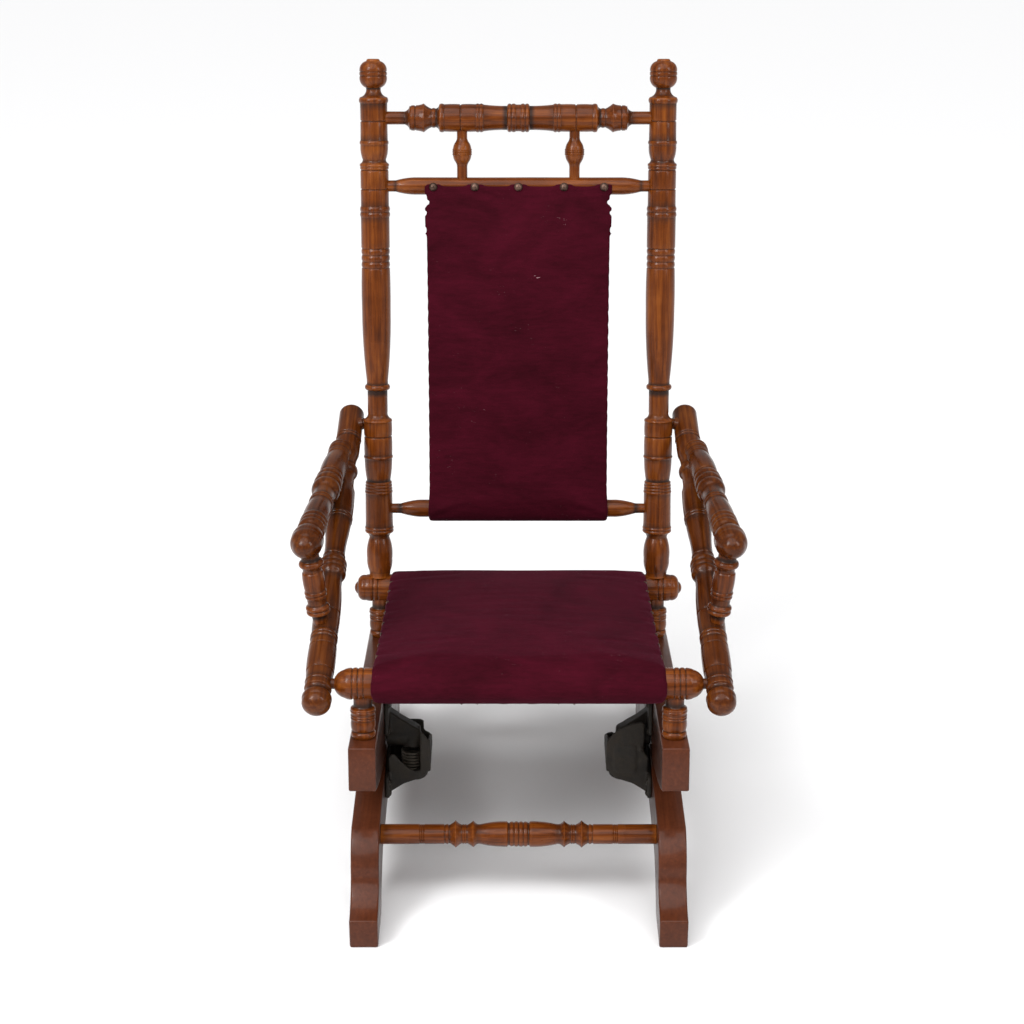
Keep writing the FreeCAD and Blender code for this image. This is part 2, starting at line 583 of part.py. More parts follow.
def half_width_prism(widths, y0, y1):
    """A slab between y0 and y1 over an outline of (height, half width) rows."""
    right = [V(w, y0, z) for z, w in widths]
    left = [V(-w, y0, z) for z, w in reversed(widths)]
    corners = right + left
    return Part.Face(Part.makePolygon(corners + corners[:1])).extrude(V(0, y1 - y0, 0))


SLING_WIDTHS = [
    (LOWER_RAIL_AT - 24, 132.5), (LOWER_RAIL_AT + 10, 133.5),
    (LOWER_RAIL_AT + 80, SLING_WAIST_HALF), (LOWER_RAIL_AT + 280, 132.0),
    (UPPER_RAIL_AT - 10, SLING_TOP_HALF), (UPPER_RAIL_AT + 24, SLING_TOP_HALF),
]


def across_back(up, radius):
    return Part.makeCylinder(radius, 300, V(-150, 0, up), V(1, 0, 0))


SLING_TOP_R = UPPER_RAIL_R + 3.6
SLING_FOOT_R = LOWER_RAIL_R + 7.0
SLING_THICK = 8.0
SLING_BACK_Y = -LOWER_RAIL_R - CLEAR  # the sling's back face lies on the lower rail
SLING_FACE_Y = SLING_BACK_Y - SLING_THICK
span = UPPER_RAIL_AT - LOWER_RAIL_AT
slab = Part.makeBox(300, SLING_THICK, span, V(-150, SLING_FACE_Y, LOWER_RAIL_AT))
top_wrap = across_back(UPPER_RAIL_AT, SLING_TOP_R)
top_wrap = top_wrap.common(Part.makeBox(300, 30, 22, V(-150, -30, UPPER_RAIL_AT - 16)))
nose = Part.makeBox(300, SLING_THICK, 10, V(-150, SLING_FACE_Y, UPPER_RAIL_AT - 4))
nose = nose.common(across_back(UPPER_RAIL_AT, 21.1))
foot_wrap = across_back(LOWER_RAIL_AT, SLING_FOOT_R)
foot_wrap = foot_wrap.cut(Part.makeBox(300, 60, 60, V(-150, -30, LOWER_RAIL_AT)))
sling = slab.fuse([top_wrap, nose, foot_wrap])
sling = sling.cut(across_back(UPPER_RAIL_AT, UPPER_RAIL_R + CLEAR))
sling = sling.cut(across_back(LOWER_RAIL_AT, LOWER_RAIL_R + CLEAR))
sling = sling.common(half_width_prism(SLING_WIDTHS, -40, 40)).removeSplitter()

lining_front = -LOWER_RAIL_R + 0.2
lining_widths = [(LOWER_RAIL_AT + 18, 126), (UPPER_RAIL_AT - 18, 128)]
lining = half_width_prism(lining_widths, lining_front, lining_front + 1.6)
parts["back_lining"] = back_shape(lining)

nails = []
for x in NAIL_XS:
    base = -SLING_TOP_R - 0.2
    nail = turned(1.1, [(9, 1.1, 0), (0, 6.0, 0), (0.6, 6.0, 0), (2.8, 0, DOME)])
    nail = aimed(nail, V(x, base + 9, UPPER_RAIL_AT), V(x, base - 4, UPPER_RAIL_AT))
    sling = sling.cut(nail)
    upper_rail = upper_rail.cut(nail)
    nails.append(back_shape(nail))
for number, nail in enumerate(nails, 1):
    parts["back_nail_%d" % number] = nail

parts["back_cover"] = back_shape(sling)
parts["crest_rail"] = back_shape(crest)
parts["upper_back_rail"] = back_shape(upper_rail)
parts["lower_back_rail"] = back_shape(lower_rail)

# ============================ braces, arms, supports ============================

BRACE_HEAD = 37.0  # how far the brace's head stands past its joint with the post
for side, word in ((-1, "left"), (1, "right")):
    top = V(side * BRACE_TOP[0], BRACE_TOP[1], BRACE_TOP[2])
    at_rail = upper_point(side * BRACE_RAIL_X, FRONT_RAIL[0], FRONT_RAIL[1])
    head = along(top, at_rail, -BRACE_HEAD)
    brace = aimed(turned(0, BRACE_STEPS), head, at_rail)

    # dowel from the brace's head into the back post, and one into the front rail's end
    post_point = back_point(side * HALF_SPACING, 253)
    hub = along(top, at_rail, 4)
    reach = V(side * (HALF_SPACING + 8), post_point.y, post_point.z)
    upper_dowel = rod(along(reach, hub, 0), along(hub, reach, 5), 6.0)
    collar = rod(along(reach, hub, 13.5), along(hub, reach, 8), 9.0)
    post = back_shape(posts[word])
    post = post.cut(rod(along(reach, hub, -0.5), hub, 6.0 + SLIP))
    brace_hole = rod(reach, along(hub, reach, 4.5), 6.0 + SLIP)
    collar = collar.cut(brace).cut(post)
    solids = sorted(collar.Solids, key=lambda s: -s.Volume)
    upper_dowel = upper_dowel.fuse(solids[0]).removeSplitter()
    brace = brace.cut(brace_hole)
    parts[word + "_back_post"] = post
    parts[word + "_upper_dowel"] = upper_dowel

    rail_in = upper_point(side * (RAIL_HALF - 22), FRONT_RAIL[0], FRONT_RAIL[1])
    rail_out = upper_point(side * (BRACE_RAIL_X - 2), FRONT_RAIL[0], FRONT_RAIL[1])
    parts[word + "_lower_dowel"] = rod(rail_in, rail_out, 7.0)
    drill = rod(along(rail_in, rail_out, -0.5), along(rail_out, rail_in, -0.5), 7.0 + SLIP)
    front_rail = front_rail.cut(drill)
    brace = brace.cut(drill)

    # arm rest: its rear tenon enters the brace's front, its ball end is free
    arm_start = V(side * ARM_REAR[0], ARM_REAR[1], ARM_REAR[2])
    arm_end = V(side * ARM_FRONT[0], ARM_FRONT[1], ARM_FRONT[2])
    arm_length = length_of(ARM_STEPS)
    arm_end = along(arm_start, arm_end, arm_length)
    arm = aimed(turned(12.0, ARM_STEPS), arm_start, arm_end)
    brace_body = aimed(turned(0, BRACE_STEPS), head, at_rail)
    arm = arm.cut(brace_body)
    arm = sorted(arm.Solids, key=lambda s: -s.Volume)[0]
    tenon_from = along(arm_start, arm_end, 2)
    arm = arm.fuse(rod(tenon_from, along(arm_start, arm_end, 30), 7.0)).removeSplitter()
    socket_end = along(arm_start, arm_end, 40)
    brace = brace.cut(rod(along(tenon_from, arm_end, -0.5), socket_end, 7.0 + SLIP))

    # support post between the arm's front and the brace
    foot = V(side * SUPPORT_FOOT[0], SUPPORT_FOOT[1], SUPPORT_FOOT[2])
    high = V(side * SUPPORT_TOP[0], SUPPORT_TOP[1], SUPPORT_TOP[2])
    post_length = length_of(SUPPORT_STEPS)
    tip = along(foot, high, post_length + 8)
    support = aimed(turned(8.0, SUPPORT_STEPS), foot, high)
    support = support.fuse(rod(along(foot, high, post_length - 1), tip, 8.0))
    shell = support.cut(arm).cut(brace_body)
    shell = sorted(shell.Solids, key=lambda s: -s.Volume)[0]
    shell = shell.fuse(rod(along(foot, high, 4), along(foot, high, 24), 7.0))
    shell = shell.fuse(rod(along(foot, high, post_length - 16), tip, 6.5))
    past_tip = along(foot, high, post_length + 8.5)
    arm = arm.cut(rod(along(foot, high, post_length - 20), past_tip, 6.5 + SLIP))
    brace = brace.cut(rod(along(foot, high, 3.5), along(foot, high, 26), 7.0 + SLIP))
    parts[word + "_arm_support"] = shell.removeSplitter()
    parts[word + "_arm_rest"] = arm
    parts[word + "_side_brace"] = brace

parts["front_seat_rail"] = front_rail
parts["rear_seat_rail"] = rear_rail

# ================================ seat ================================

SEAT_BOTTOM = 188.0
SEAT_TOP = 200.5
CANVAS_THICK = 1.6


def across_seat(place, radius):
    return Part.makeCylinder(radius, 420, V(-210, *place), V(1, 0, 0))


def seat_outline(y0, y1, inset):
    """The seat's plan as a tall block: a little wider in front than behind."""
    f = SEAT_FRONT_HALF - inset
    r = SEAT_REAR_HALF - inset
    corners = [V(-f, y0, 0), V(f, y0, 0), V(r, y1, 0), V(-r, y1, 0)]
    return Part.Face(Part.makePolygon(corners + corners[:1])).extrude(V(0, 0, 260))


SEAT_DEPTH = REAR_RAIL[0] - FRONT_RAIL[0]
corner = V(-210, FRONT_RAIL[0], SEAT_BOTTOM)
slab = Part.makeBox(420, SEAT_DEPTH, SEAT_TOP - SEAT_BOTTOM, corner)
lip = across_seat(FRONT_RAIL, FRONT_RAIL_R + SEAT_WRAP).cut(
    Part.makeBox(420, 60, 60, V(-210, FRONT_RAIL[0] + 3, FRONT_RAIL[1] - 40)))
tail = across_seat(REAR_RAIL, REAR_RAIL_R + SEAT_WRAP).cut(
    Part.makeBox(420, 80, 60, V(-210, REAR_RAIL[0] - 40, REAR_RAIL[1] - 54)))
cover = slab.fuse([lip, tail])
cover = cover.cut(across_seat(FRONT_RAIL, FRONT_RAIL_R + CLEAR))
cover = cover.cut(across_seat(REAR_RAIL, REAR_RAIL_R + CLEAR))
cover = cover.common(seat_outline(-240, 250, 0))
for side in (-1, 1):
    x = side * SIDE_RAIL_X
    bar = rod(V(x, *FRONT_RAIL), V(x, *REAR_RAIL), SIDE_RAIL_R + CLEAR)
    cover = cover.cut(bar)
parts["seat_cover"] = to_chair(cover.removeSplitter())

CANVAS_HALF = 150.0
corner = V(-CANVAS_HALF, FRONT_RAIL[0] + 26, SEAT_BOTTOM - 2.0)
canvas = Part.makeBox(2 * CANVAS_HALF, SEAT_DEPTH - 50, CANVAS_THICK, corner)
parts["seat_canvas"] = to_chair(canvas)

# ================================ output ================================

box = None
for name in sorted(parts):
    shape = parts[name]
    shape.exportStep("parts/%s.step" % name)
    if box is None:
        box = FreeCAD.BoundBox(shape.BoundBox)
    else:
        box.add(shape.BoundBox)
print("nodes:", len(parts))
print("bounds x %.1f %.1f" % (box.XMin, box.XMax))
print("bounds y %.1f %.1f" % (box.YMin, box.YMax))
print("bounds z %.1f %.1f" % (box.ZMin, box.ZMax))
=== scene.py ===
import contextlib
import itertools
import math

import bmesh
import bpy
from mathutils import Matrix, Vector, noise


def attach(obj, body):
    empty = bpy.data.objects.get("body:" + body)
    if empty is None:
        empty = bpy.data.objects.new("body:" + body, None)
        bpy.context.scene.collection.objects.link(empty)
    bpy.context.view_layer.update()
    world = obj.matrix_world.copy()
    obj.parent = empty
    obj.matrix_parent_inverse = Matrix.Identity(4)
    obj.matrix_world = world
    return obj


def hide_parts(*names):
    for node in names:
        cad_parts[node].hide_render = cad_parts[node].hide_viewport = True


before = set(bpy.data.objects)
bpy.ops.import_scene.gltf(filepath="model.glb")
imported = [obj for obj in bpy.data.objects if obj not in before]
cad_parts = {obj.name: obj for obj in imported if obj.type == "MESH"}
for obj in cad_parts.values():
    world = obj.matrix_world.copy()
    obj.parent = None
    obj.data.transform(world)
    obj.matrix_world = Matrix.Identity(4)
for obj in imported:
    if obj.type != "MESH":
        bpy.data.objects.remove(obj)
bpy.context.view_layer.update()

# A platform rocking chair of turned wood with a velvet seat and back.
# Pieces are drawn in millimetres in the frame's axes and scaled to metres when finished.
MM = 0.001
SIDES = ((-1, "left"), (1, "right"))

# ---- base, chair axes ----
BASE_LENGTH = 634.0
BASE_CENTRE_Y = -24.6
BOARD_X = 206.0
BOARD_THICK = 38.0
BOARD_INNER = BOARD_X - BOARD_THICK / 2
PLATFORM_Z = 132.0
TOE_HEIGHT = 42.0
ARCH_HEIGHT = 58.0
STRETCHER_Y = 197.0
STRETCHER_Z = 101.5

# ---- rocking motion ----
ROCKER_RADIUS = 800.0
TILT = 8.7
CONTACT_Y = BASE_CENTRE_Y + 80.0
CONTACT_Z = 133.6

# ---- upper frame, origin at the lowest point of the rocker's arc ----
HALF_SPACING = 205.0
ROCKER_THICK = 36.0
ROCKER_FRONT = -240.0
ROCKER_REAR = 250.0
ROCKER_TOP = 97.0
FRONT_RAIL = (-200.0, 172.0)
REAR_RAIL = (214.0, 172.0)
FRONT_RAIL_R = 21.0
REAR_RAIL_R = 20.0
RAIL_HALF = 243.0
SIDE_RAIL_X = 168.0
SIDE_RAIL_R = 15.0
SEAT_FRONT_HALF = 191.5
SEAT_REAR_HALF = 187.0
SEAT_UNDER = 188.0

# ---- back, up along the posts from the rear seat rail's axis ----
RECLINE = 2.8
CREST_AT = 688.8
UPPER_RAIL_AT = 592.9
LOWER_RAIL_AT = 120.9
UPPER_RAIL_R = 12.25
LOWER_RAIL_R = 12.75
SPINDLE_X = 80.0
POST_START = 17.0
NAIL_XS = (-121.0, -62.0, 0.0, 65.0, 122.0)

# ---- braces, arms and supports, chair axes ----
BRACE_TOP = (246.0, BASE_CENTRE_Y + 256.0, 517.0)
BRACE_RAIL_X = 262.5
BRACE_HEAD = 37.0
ARM_REAR = (254.5, BASE_CENTRE_Y + 222.0, 503.0)
ARM_FRONT = (280.0, BASE_CENTRE_Y - 130.0, 505.0)
SUPPORT_TOP = (276.0, BASE_CENTRE_Y - 124.0, 492.0)
SUPPORT_FOOT = (264.0, BASE_CENTRE_Y - 128.0, 376.0)

# ---- springs ----
SPRING_X = 149.0
SPRING_Y = BASE_CENTRE_Y - 40.0
COIL_R = 14.7
COIL_WIRE_R = 2.3
COIL_BOTTOM_Z = 107.3
COIL_TOP_Z = 147.5
COIL_TURNS = 7
PLATE_THICK = 6.0
HOUSING_HALF = 34.0
HOUSING_WALL = 3.5
BARREL_R = 14.0
BARREL_Z = 21.4
LOWER_SCREWS = ((-45, 98), (45, 98), (-45, 116), (45, 116))
UPPER_SCREWS = ((-30, 40), (30, 40), (-30, 78), (30, 78))

# Outlines of the lower casting's housing, in (distance from the middle plane, height). All
# start up the same foot. The tall ones stand in front and the low ones behind, and a side
# has either a closed wall or a window.
FOOT = ((182, 93), (160, 108.5), (138, 116), (127, 127))
TALL_EDGE = FOOT + ((123.5, 137), (123, 175), (131.5, 188))
LOW_EDGE = FOOT + ((123.5, 137), (124, 146))
WINDOW = ((138, 127.5), (151, 129.5), (168, 148), (175, 158), (182, 152))
HOUSING = TALL_EDGE + ((143.5, 199), (165, 206), (176, 207.5), (176, 158), (182, 152))
HOUSING_LOW = LOW_EDGE + ((130, 152), (150, 157), (176, 160), (176, 158), (182, 152))
HOUSING_OPEN = TALL_EDGE + ((138, 193.5),) + WINDOW
HOUSING_OPEN_LOW = LOW_EDGE + ((130, 150), (138, 150)) + WINDOW
HOUSING_FLOOR = FOOT + ((131, 130), (140, 121), (160, 114), (182, 103))
PANEL = ((134, 127.5), (165, 127.5), (165, 170.5), (134, 170.5))
INNER_WALL_X = (123.2, 126.7)
CUP_FLOOR = COIL_BOTTOM_Z - 4.3
LOWER_PLATE = (52, 88, 126)  # half length, bottom and top
UPPER_PLATE = (40, 32, 86)
UPPER_WEB = ((183, 63), (166, 50), (140, 34), (140, 22), (183, 22))
UPPER_FOOT = ((186.5, 17), (186.5, 36), (180, 36), (180, 17))

# A turning is a start radius and steps of (length, radius, bulge). The bulge is how far
# the line to the next radius swells out, or in when it is negative. DOME stands for the
# bulge of a round cap that meets the axis squarely.
DOME = None


def beads(count, length, radius, bulge):
    """Equal rings side by side."""
    return [(length, radius, bulge)] * count


POST_STEPS = [
    (8, 15.6, 0), (20, 18.9, 1.2), (32, 14.8, 2.0), (8, 20.3, -1.5), *beads(2, 4.5, 20.3, 1.0),
    (50, 19.8, 0), (4.5, 19.4, 1.0), (4.5, 19.0, 1.0), (4.5, 18.9, 1.0), (4, 18.9, 0.6),
    (0.8, 17.2, 0), (34, 20.3, 0.8), (4.5, 20.3, 1.2), (27, 20.3, 0.4), (2.5, 20.3, -1.4),
    (20, 20.3, 0.4), (4.5, 19.2, 1.2), (10.5, 14.6, -2.0), (32.5, 14.6, 0), (1, 17.4, 0.2),
    (6, 17.4, 1.1), (1, 15.5, 0.2), (6, 15.5, 0), (102.5, 20.8, 1.4), (60.5, 20.4, 0.4),
    (1, 19.2, 0), *beads(3, 9.4, 19.2, 1.3), (1, 20.5, 0), (43.5, 20.5, 0),
    *beads(2, 7.6, 20.3, 1.1), (0.8, 20.0, 0), (22.5, 20.0, 0), (2.4, 20.0, -1.2), (24.5, 20.0, 0),
    (1.6, 18.8, 0), *beads(2, 4.4, 20.0, 1.0), (5.6, 16.6, -1.0), (21, 19.6, 1.2), (6, 19.4, 1.2),
    (26, 19.2, 0), (2.4, 19.2, -1.2), (23.5, 19.2, 0), (8.5, 19.0, 1.7), (13, 10.4, -3.2),
    (16, 19.2, 3.2), (1.4, 19.2, -0.8), (4.4, 19.3, 0.2), (1.4, 19.2, -0.8), (14, 9.8, 3.2),
    (3, 7.5, 0.5),
]
CREST_HALF = [
    (22, 9.2, 0), (7, 17.5, -1.6), (2, 17.5, -1.0), (5, 17.8, 0.2), (2, 17.8, -1.0),
    (11, 20.3, -0.6), (11, 13.0, -0.6), (6, 13.0, 1.0), (5, 19.0, -1.2), (7, 19.0, 1.2),
    (1.5, 19.2, 0), (20.5, 19.2, 0.3), (2.4, 19.2, -1.2), (20.5, 19.2, 0.3),
    *beads(2, 5, 19.2, 1.0), (1, 18.6, 0), (33, 16.8, -0.5), (1, 18.8, 0), (5.3, 18.8, 1.3),
    (6.4, 18.8, 1.3),
]
SPINDLE_HALF = [(9, 7.4, 0), (7, 9.4, -0.6), (10, 13.2, 0.8), *beads(2, 2.2, 13.2, 0.9)]
UPPER_RAIL_HALF = [(8, 8.0, 0), (22, 12.0, 0.6), (5, UPPER_RAIL_R, 0)]
LOWER_RAIL_HALF = [(10, 7.2, 0), (24, 12.4, 0.6), (5, LOWER_RAIL_R, 0)]
FRONT_RAIL_END = [
    (14, 18.5, DOME), (10, 21.0, 0.8), (2.4, 21.0, -1.0), (5, 21.0, 0.4), (2.4, 21.0, -1.0),
    (5, 21.0, 0.4), (2.4, 21.0, -1.0),
]
REAR_RAIL_END = [
    (5, 9.5, DOME), (12, 19.0, 3.6), (10, 20.0, 0.6), (2.4, 20.0, -1.0), (5, 20.0, 0.4),
    (2.4, 20.0, -1.0),
]
SIDE_RAIL_HALF = [(30, 15.0, 0.6), (3, 15.0, -1.0)]
LEG_STEPS = [
    (10.2, 12.2, 0), (3, 15.6, -0.5), (3, 16.0, 0.5), (3.4, 16.0, 0.8), (3, 15.4, 0),
    *beads(2, 3.4, 15.4, 1.0), (14, 15.6, 0.9), (2, 13.8, 0), (9, 13.8, 2.6), (1.5, 13.0, 0),
]
BRACE_STEPS = [
    (8, 14.0, DOME), (9, 18.0, 1.4), (48, 18.0, 0), (3, 18.0, -1.0), (3, 17.6, 0.8),
    (3, 17.6, -1.0), (26, 17.4, 0.3), (26, 14.7, -1.2), (5, 17.6, 0), (10, 17.6, 1.2),
    (1, 16.4, 0), (14, 15.0, -0.6), (22, 18.0, -1.0), (51, 18.8, 0.6), *beads(2, 4.6, 18.2, 1.0),
    (25, 16.4, 0), (33, 14.4, -0.5), (9, 14.6, 0), (3.6, 14.6, 1.0), (7.6, 17.6, -0.5),
    *beads(3, 8.8, 17.6, 1.3), (6, 14.6, -0.5), (13, 14.8, 0), (52, 18.2, 0.8), (3, 18.2, -1.0),
    (36, 17.4, 0.4), *beads(2, 5.6, 17.4, 1.1), (12, 18.6, 0), (2, 18.6, -0.8), (40, 18.6, 0.5),
    (2.4, 18.2, -0.9), (14, 17.4, 0), (4, 17.4, 1.0), (9, 18.2, 0), (7, 15.2, -1.2),
    (13, 19.0, 2.4), (12, 15.2, 1.6), (7, 0, DOME),
]
ARM_STEPS = [
    (20, 12.0, 0), (4, 15.6, 0), *beads(2, 8, 15.6, 1.4), (4, 14.4, 0), *beads(2, 7, 15.0, 1.2),
    (4, 15.6, 0), (58, 17.2, 1.8), (4, 16.0, -0.6), *beads(3, 17, 17.8, 2.2), (8, 14.6, -0.8),
    (20, 15.4, 0), *beads(2, 7, 15.6, 1.3), (50, 17.4, 1.2), *beads(3, 11, 17.4, 1.4),
    (7, 15.2, -0.8), (24, 21.0, 2.8), (16, 16.8, 1.8), (12.5, 0, DOME),
]
ARM_STRETCH = 1.04
SUPPORT_STEPS = [
    (14, 8.0, 0), (0.5, 9.2, 0), (9, 9.6, 0), (4, 14.2, -1.0), *beads(2, 6, 14.6, 1.6),
    (4, 12.6, -0.6), (7, 13.0, 0), *beads(2, 5.5, 13.8, 1.2), (26, 14.2, 0.8), (3, 12.6, -0.4),
    (7, 15.8, -1.2), (7, 14.8, 1.4), (3, 12.2, -0.6), (15, 11.8, 0),
]
STRETCHER_HALF = [
    (52, 13.5, 0), (1, 12.4, 0), *beads(2, 2.6, 12.4, 1.0), (1, 13.5, 0), (26, 13.5, 0),
    (1.6, 12.2, 0), (4, 13.6, 0.4), (1.6, 12.2, 0), (9, 18.6, -0.6), (9, 12.4, -0.6),
    *beads(2, 3, 12.4, 1.0), (9, 18.2, -0.6), (6, 13.4, -0.6), (3, 13.4, 0), (37, 17.2, 1.2),
    (3, 15.0, -0.6), *beads(2, 6.3, 15.4, 1.6),
]


# ============================ places in the frame ============================


def upper_matrix():
    """From the upper frame's own axes to chair axes at rest, in millimetres."""
    lean = Matrix.Rotation(-math.radians(TILT), 4, "X")
    centre = Vector((0, CONTACT_Y, CONTACT_Z + ROCKER_RADIUS))
    return Matrix.Translation(centre) @ lean @ Matrix.Translation((0, 0, -ROCKER_RADIUS))


UPPER = upper_matrix()
BACK = (
    UPPER
    @ Matrix.Translation((0, REAR_RAIL[0], REAR_RAIL[1]))
    @ Matrix.Rotation(-math.radians(RECLINE), 4, "X")
)
CHAIR = Matrix.Identity(4)


def aim(begin, end):
    """Turns +Z toward end, with the origin at begin."""
    turn = (end - begin).to_track_quat("Z", "Y").to_matrix().to_4x4()
    return Matrix.Translation(begin) @ turn


def along(begin, end, distance):
    return begin + (end - begin).normalized() * distance


# ================================ materials ================================


def scaled(colour, share):
    return tuple(share * c for c in colour)


class Finish:
    """A material under construction: a principled surface and a few node helpers."""

    def __init__(self, name):
        self.material = bpy.data.materials.new(name)
        self.material.use_nodes = True
        self.nodes = self.material.node_tree.nodes
        self.links = self.material.node_tree.links
        self.surface = self.nodes["Principled BSDF"]

    def add(self, kind, inputs=None, **settings):
        node = self.nodes.new(kind)
        for key, value in settings.items():
            setattr(node, key, value)
        for key, value in (inputs or {}).items():
            self.give(node.inputs[key], value)
        return node

    def give(self, socket, value):
        if isinstance(value, bpy.types.NodeSocket):
            self.links.new(value, socket)
        else:
            socket.default_value = value

    def place(self, attribute=None):
        """The coordinates that patterns read: the piece's own grain axes, or its place."""
        if attribute:
            node = self.add("ShaderNodeAttribute", attribute_name=attribute)
            return node.outputs["Vector"]
        return self.add("ShaderNodeTexCoord").outputs["Object"]

    def stretched(self, coordinates, scale):
        node = self.add("ShaderNodeMapping", {"Vector": coordinates, "Scale": scale})
        return node.outputs["Vector"]

    def noise(self, coordinates, scale, detail=4.0, roughness=0.55, distortion=0.0):
        values = {
            "Vector": coordinates, "Scale": scale, "Detail": detail,
            "Roughness": roughness, "Distortion": distortion,
        }
        return self.add("ShaderNodeTexNoise", values).outputs["Fac"]

    def math(self, operation, a, b=0.0):
        return self.add("ShaderNodeMath", {0: a, 1: b}, operation=operation).outputs[0]

    def times(self, a, b):
        return self.math("MULTIPLY", a, b)

    def plus(self, a, b):
        return self.math("ADD", a, b)

    def between(self, value, low, high, to_low=0.0, to_high=1.0):
        """Maps low..high to to_low..to_high, held at both ends."""
        inputs = {0: value, 1: low, 2: high, 3: to_low, 4: to_high}
        return self.add("ShaderNodeMapRange", inputs, clamp=True).outputs[0]

    def ramp(self, value, *stops):
        """Colours along a value: stops of (position, (r, g, b))."""
        node = self.add("ShaderNodeValToRGB", {"Fac": value})
        elements = node.color_ramp.elements
        while len(elements) < len(stops):
            elements.new(0.5)
        for element, (position, colour) in zip(elements, stops):
            element.position = position
            element.color = (*colour, 1.0)
        return node.outputs["Color"]

    def mix(self, share, first, second, blend="MIX"):
        node = self.add("ShaderNodeMix", data_type="RGBA", blend_type=blend)
        self.give(node.inputs[0], share)
        for index, value in ((6, first), (7, second)):
            if isinstance(value, tuple):
                value = (*value, 1.0)
            self.give(node.inputs[index], value)
        return node.outputs[2]

    def bump(self, height, strength, distance, under=None):
        inputs = {"Height": height, "Strength": strength, "Distance": distance}
        if under is not None:
            inputs["Normal"] = under
        return self.add("ShaderNodeBump", inputs).outputs["Normal"]

    def finish(self, **sockets):
        for key, value in sockets.items():
            name = key.replace("_", " ").capitalize()
            for found in self.surface.inputs:
                if found.name.lower() == name.lower():
                    self.give(found, value)
        return self.material


def varnished_wood(name, grain, stretch, deep, body, warm, gloss, hollows=True):
    """Stained hardwood under old varnish: streaks along the grain, pores, dirt and painted shade in
    the hollows, and ridges lightened as wear and painted highlight. stretch is the pattern's scale
    along each axis."""
    wood = Finish(name)
    place = wood.place(grain)
    room = wood.place()
    long_way = wood.stretched(place, stretch)
    streaks = wood.noise(long_way, 210.0, 5.0, 0.6, 0.35)
    fibres = wood.noise(long_way, 900.0, 3.0, 0.7)
    clouds = wood.noise(room, 16.0, 3.0, 0.55)
    pores = wood.between(wood.noise(long_way, 1700.0, 2.0, 0.5), 0.66, 0.74)
    tone = wood.plus(wood.times(streaks, 0.75), wood.times(clouds, 0.45))
    colour = wood.ramp(wood.between(tone, 0.38, 0.82), (0.0, deep), (0.5, body), (1.0, warm))
    colour = wood.mix(wood.between(fibres, 0.35, 0.75, 0.0, 0.35), colour, scaled(body, 0.45))
    colour = wood.mix(wood.times(pores, 0.6), colour, scaled(deep, 0.3))
    rough = wood.between(clouds, 0.3, 0.7, gloss - 0.05, gloss + 0.09)
    if hollows:
        hollow = wood.add("ShaderNodeAttribute", attribute_name="hollow").outputs["Fac"]
        specks = wood.noise(room, 160.0, 4.0, 0.65)
        # Darker in the hollows: partly dirt, partly painted shade.
        dirt_and_shade = wood.between(wood.plus(hollow, wood.times(specks, 0.3)), 0.22, 0.75)
        # Lighter on ridges and rims: partly wear, partly painted highlight.
        wear_and_highlight = wood.math(
            "SUBTRACT", wood.times(hollow, -1.0), wood.times(specks, 0.7),
        )
        wear_and_highlight = wood.between(wear_and_highlight, 0.0, 0.6, 0.0, 0.4)
        colour = wood.mix(wear_and_highlight, colour, scaled(warm, 1.35))
        colour = wood.mix(wood.times(dirt_and_shade, 0.88), colour, (0.012, 0.0055, 0.0035))
        rough = wood.plus(rough, wood.times(dirt_and_shade, 0.25))
        # Each piece darkened as a whole: partly its stain, partly painted shade.
        stain_and_shade = wood.add("ShaderNodeAttribute", attribute_name="stain_and_shade").outputs["Fac"]
        colour = wood.mix(1.0, colour, stain_and_shade, "MULTIPLY")
    ripple = wood.noise(room, 75.0, 3.0, 0.5)
    normal = wood.bump(fibres, 0.12, 0.0004)
    normal = wood.bump(ripple, 0.22, 0.0011, normal)
    return wood.finish(
        base_color=colour, roughness=rough, normal=normal, specular_ior_level=0.12,
        coat_weight=0.22, coat_roughness=0.12, coat_ior=1.4,
    )


def velvet(name, dark, body, sheen_tint):
    """Cotton velvet: a deep pile with brushed patches, a plum bloom at the edges of
    forms, and pale specks of lint."""
    cloth = Finish(name)
    room = cloth.place()
    brushed = cloth.noise(cloth.stretched(room, (1.0, 1.0, 2.2)), 9.0, 5.0, 0.6, 0.8)
    crushed = cloth.noise(cloth.stretched(room, (1.0, 3.0, 5.0)), 45.0, 4.0, 0.65, 0.6)
    pile = cloth.noise(room, 2600.0, 2.0, 0.6)
    tone = cloth.plus(cloth.times(brushed, 0.65), cloth.times(crushed, 0.35))
    colour = cloth.ramp(cloth.between(tone, 0.34, 0.66), (0.0, dark), (1.0, body))
    colour = cloth.mix(cloth.between(pile, 0.35, 0.7, 0.0, 0.45), colour, scaled(dark, 0.55))
    threads = cloth.noise(cloth.stretched(room, (0.35, 1.0, 1.0)), 420.0, 1.0, 0.4, 2.5)
    where = cloth.noise(room, 26.0, 1.0, 0.5)
    lint = cloth.times(
        cloth.between(threads, 0.775, 0.81), cloth.between(where, 0.56, 0.66),
    )
    colour = cloth.mix(cloth.times(lint, 0.6), colour, (0.42, 0.26, 0.28))
    normal = cloth.bump(pile, 0.35, 0.0006)
    normal = cloth.bump(crushed, 0.16, 0.0016, normal)
    return cloth.finish(
        base_color=colour, roughness=0.86, normal=normal, sheen_weight=0.13,
        sheen_roughness=0.38, sheen_tint=(*sheen_tint, 1.0), specular_ior_level=0.05,
    )


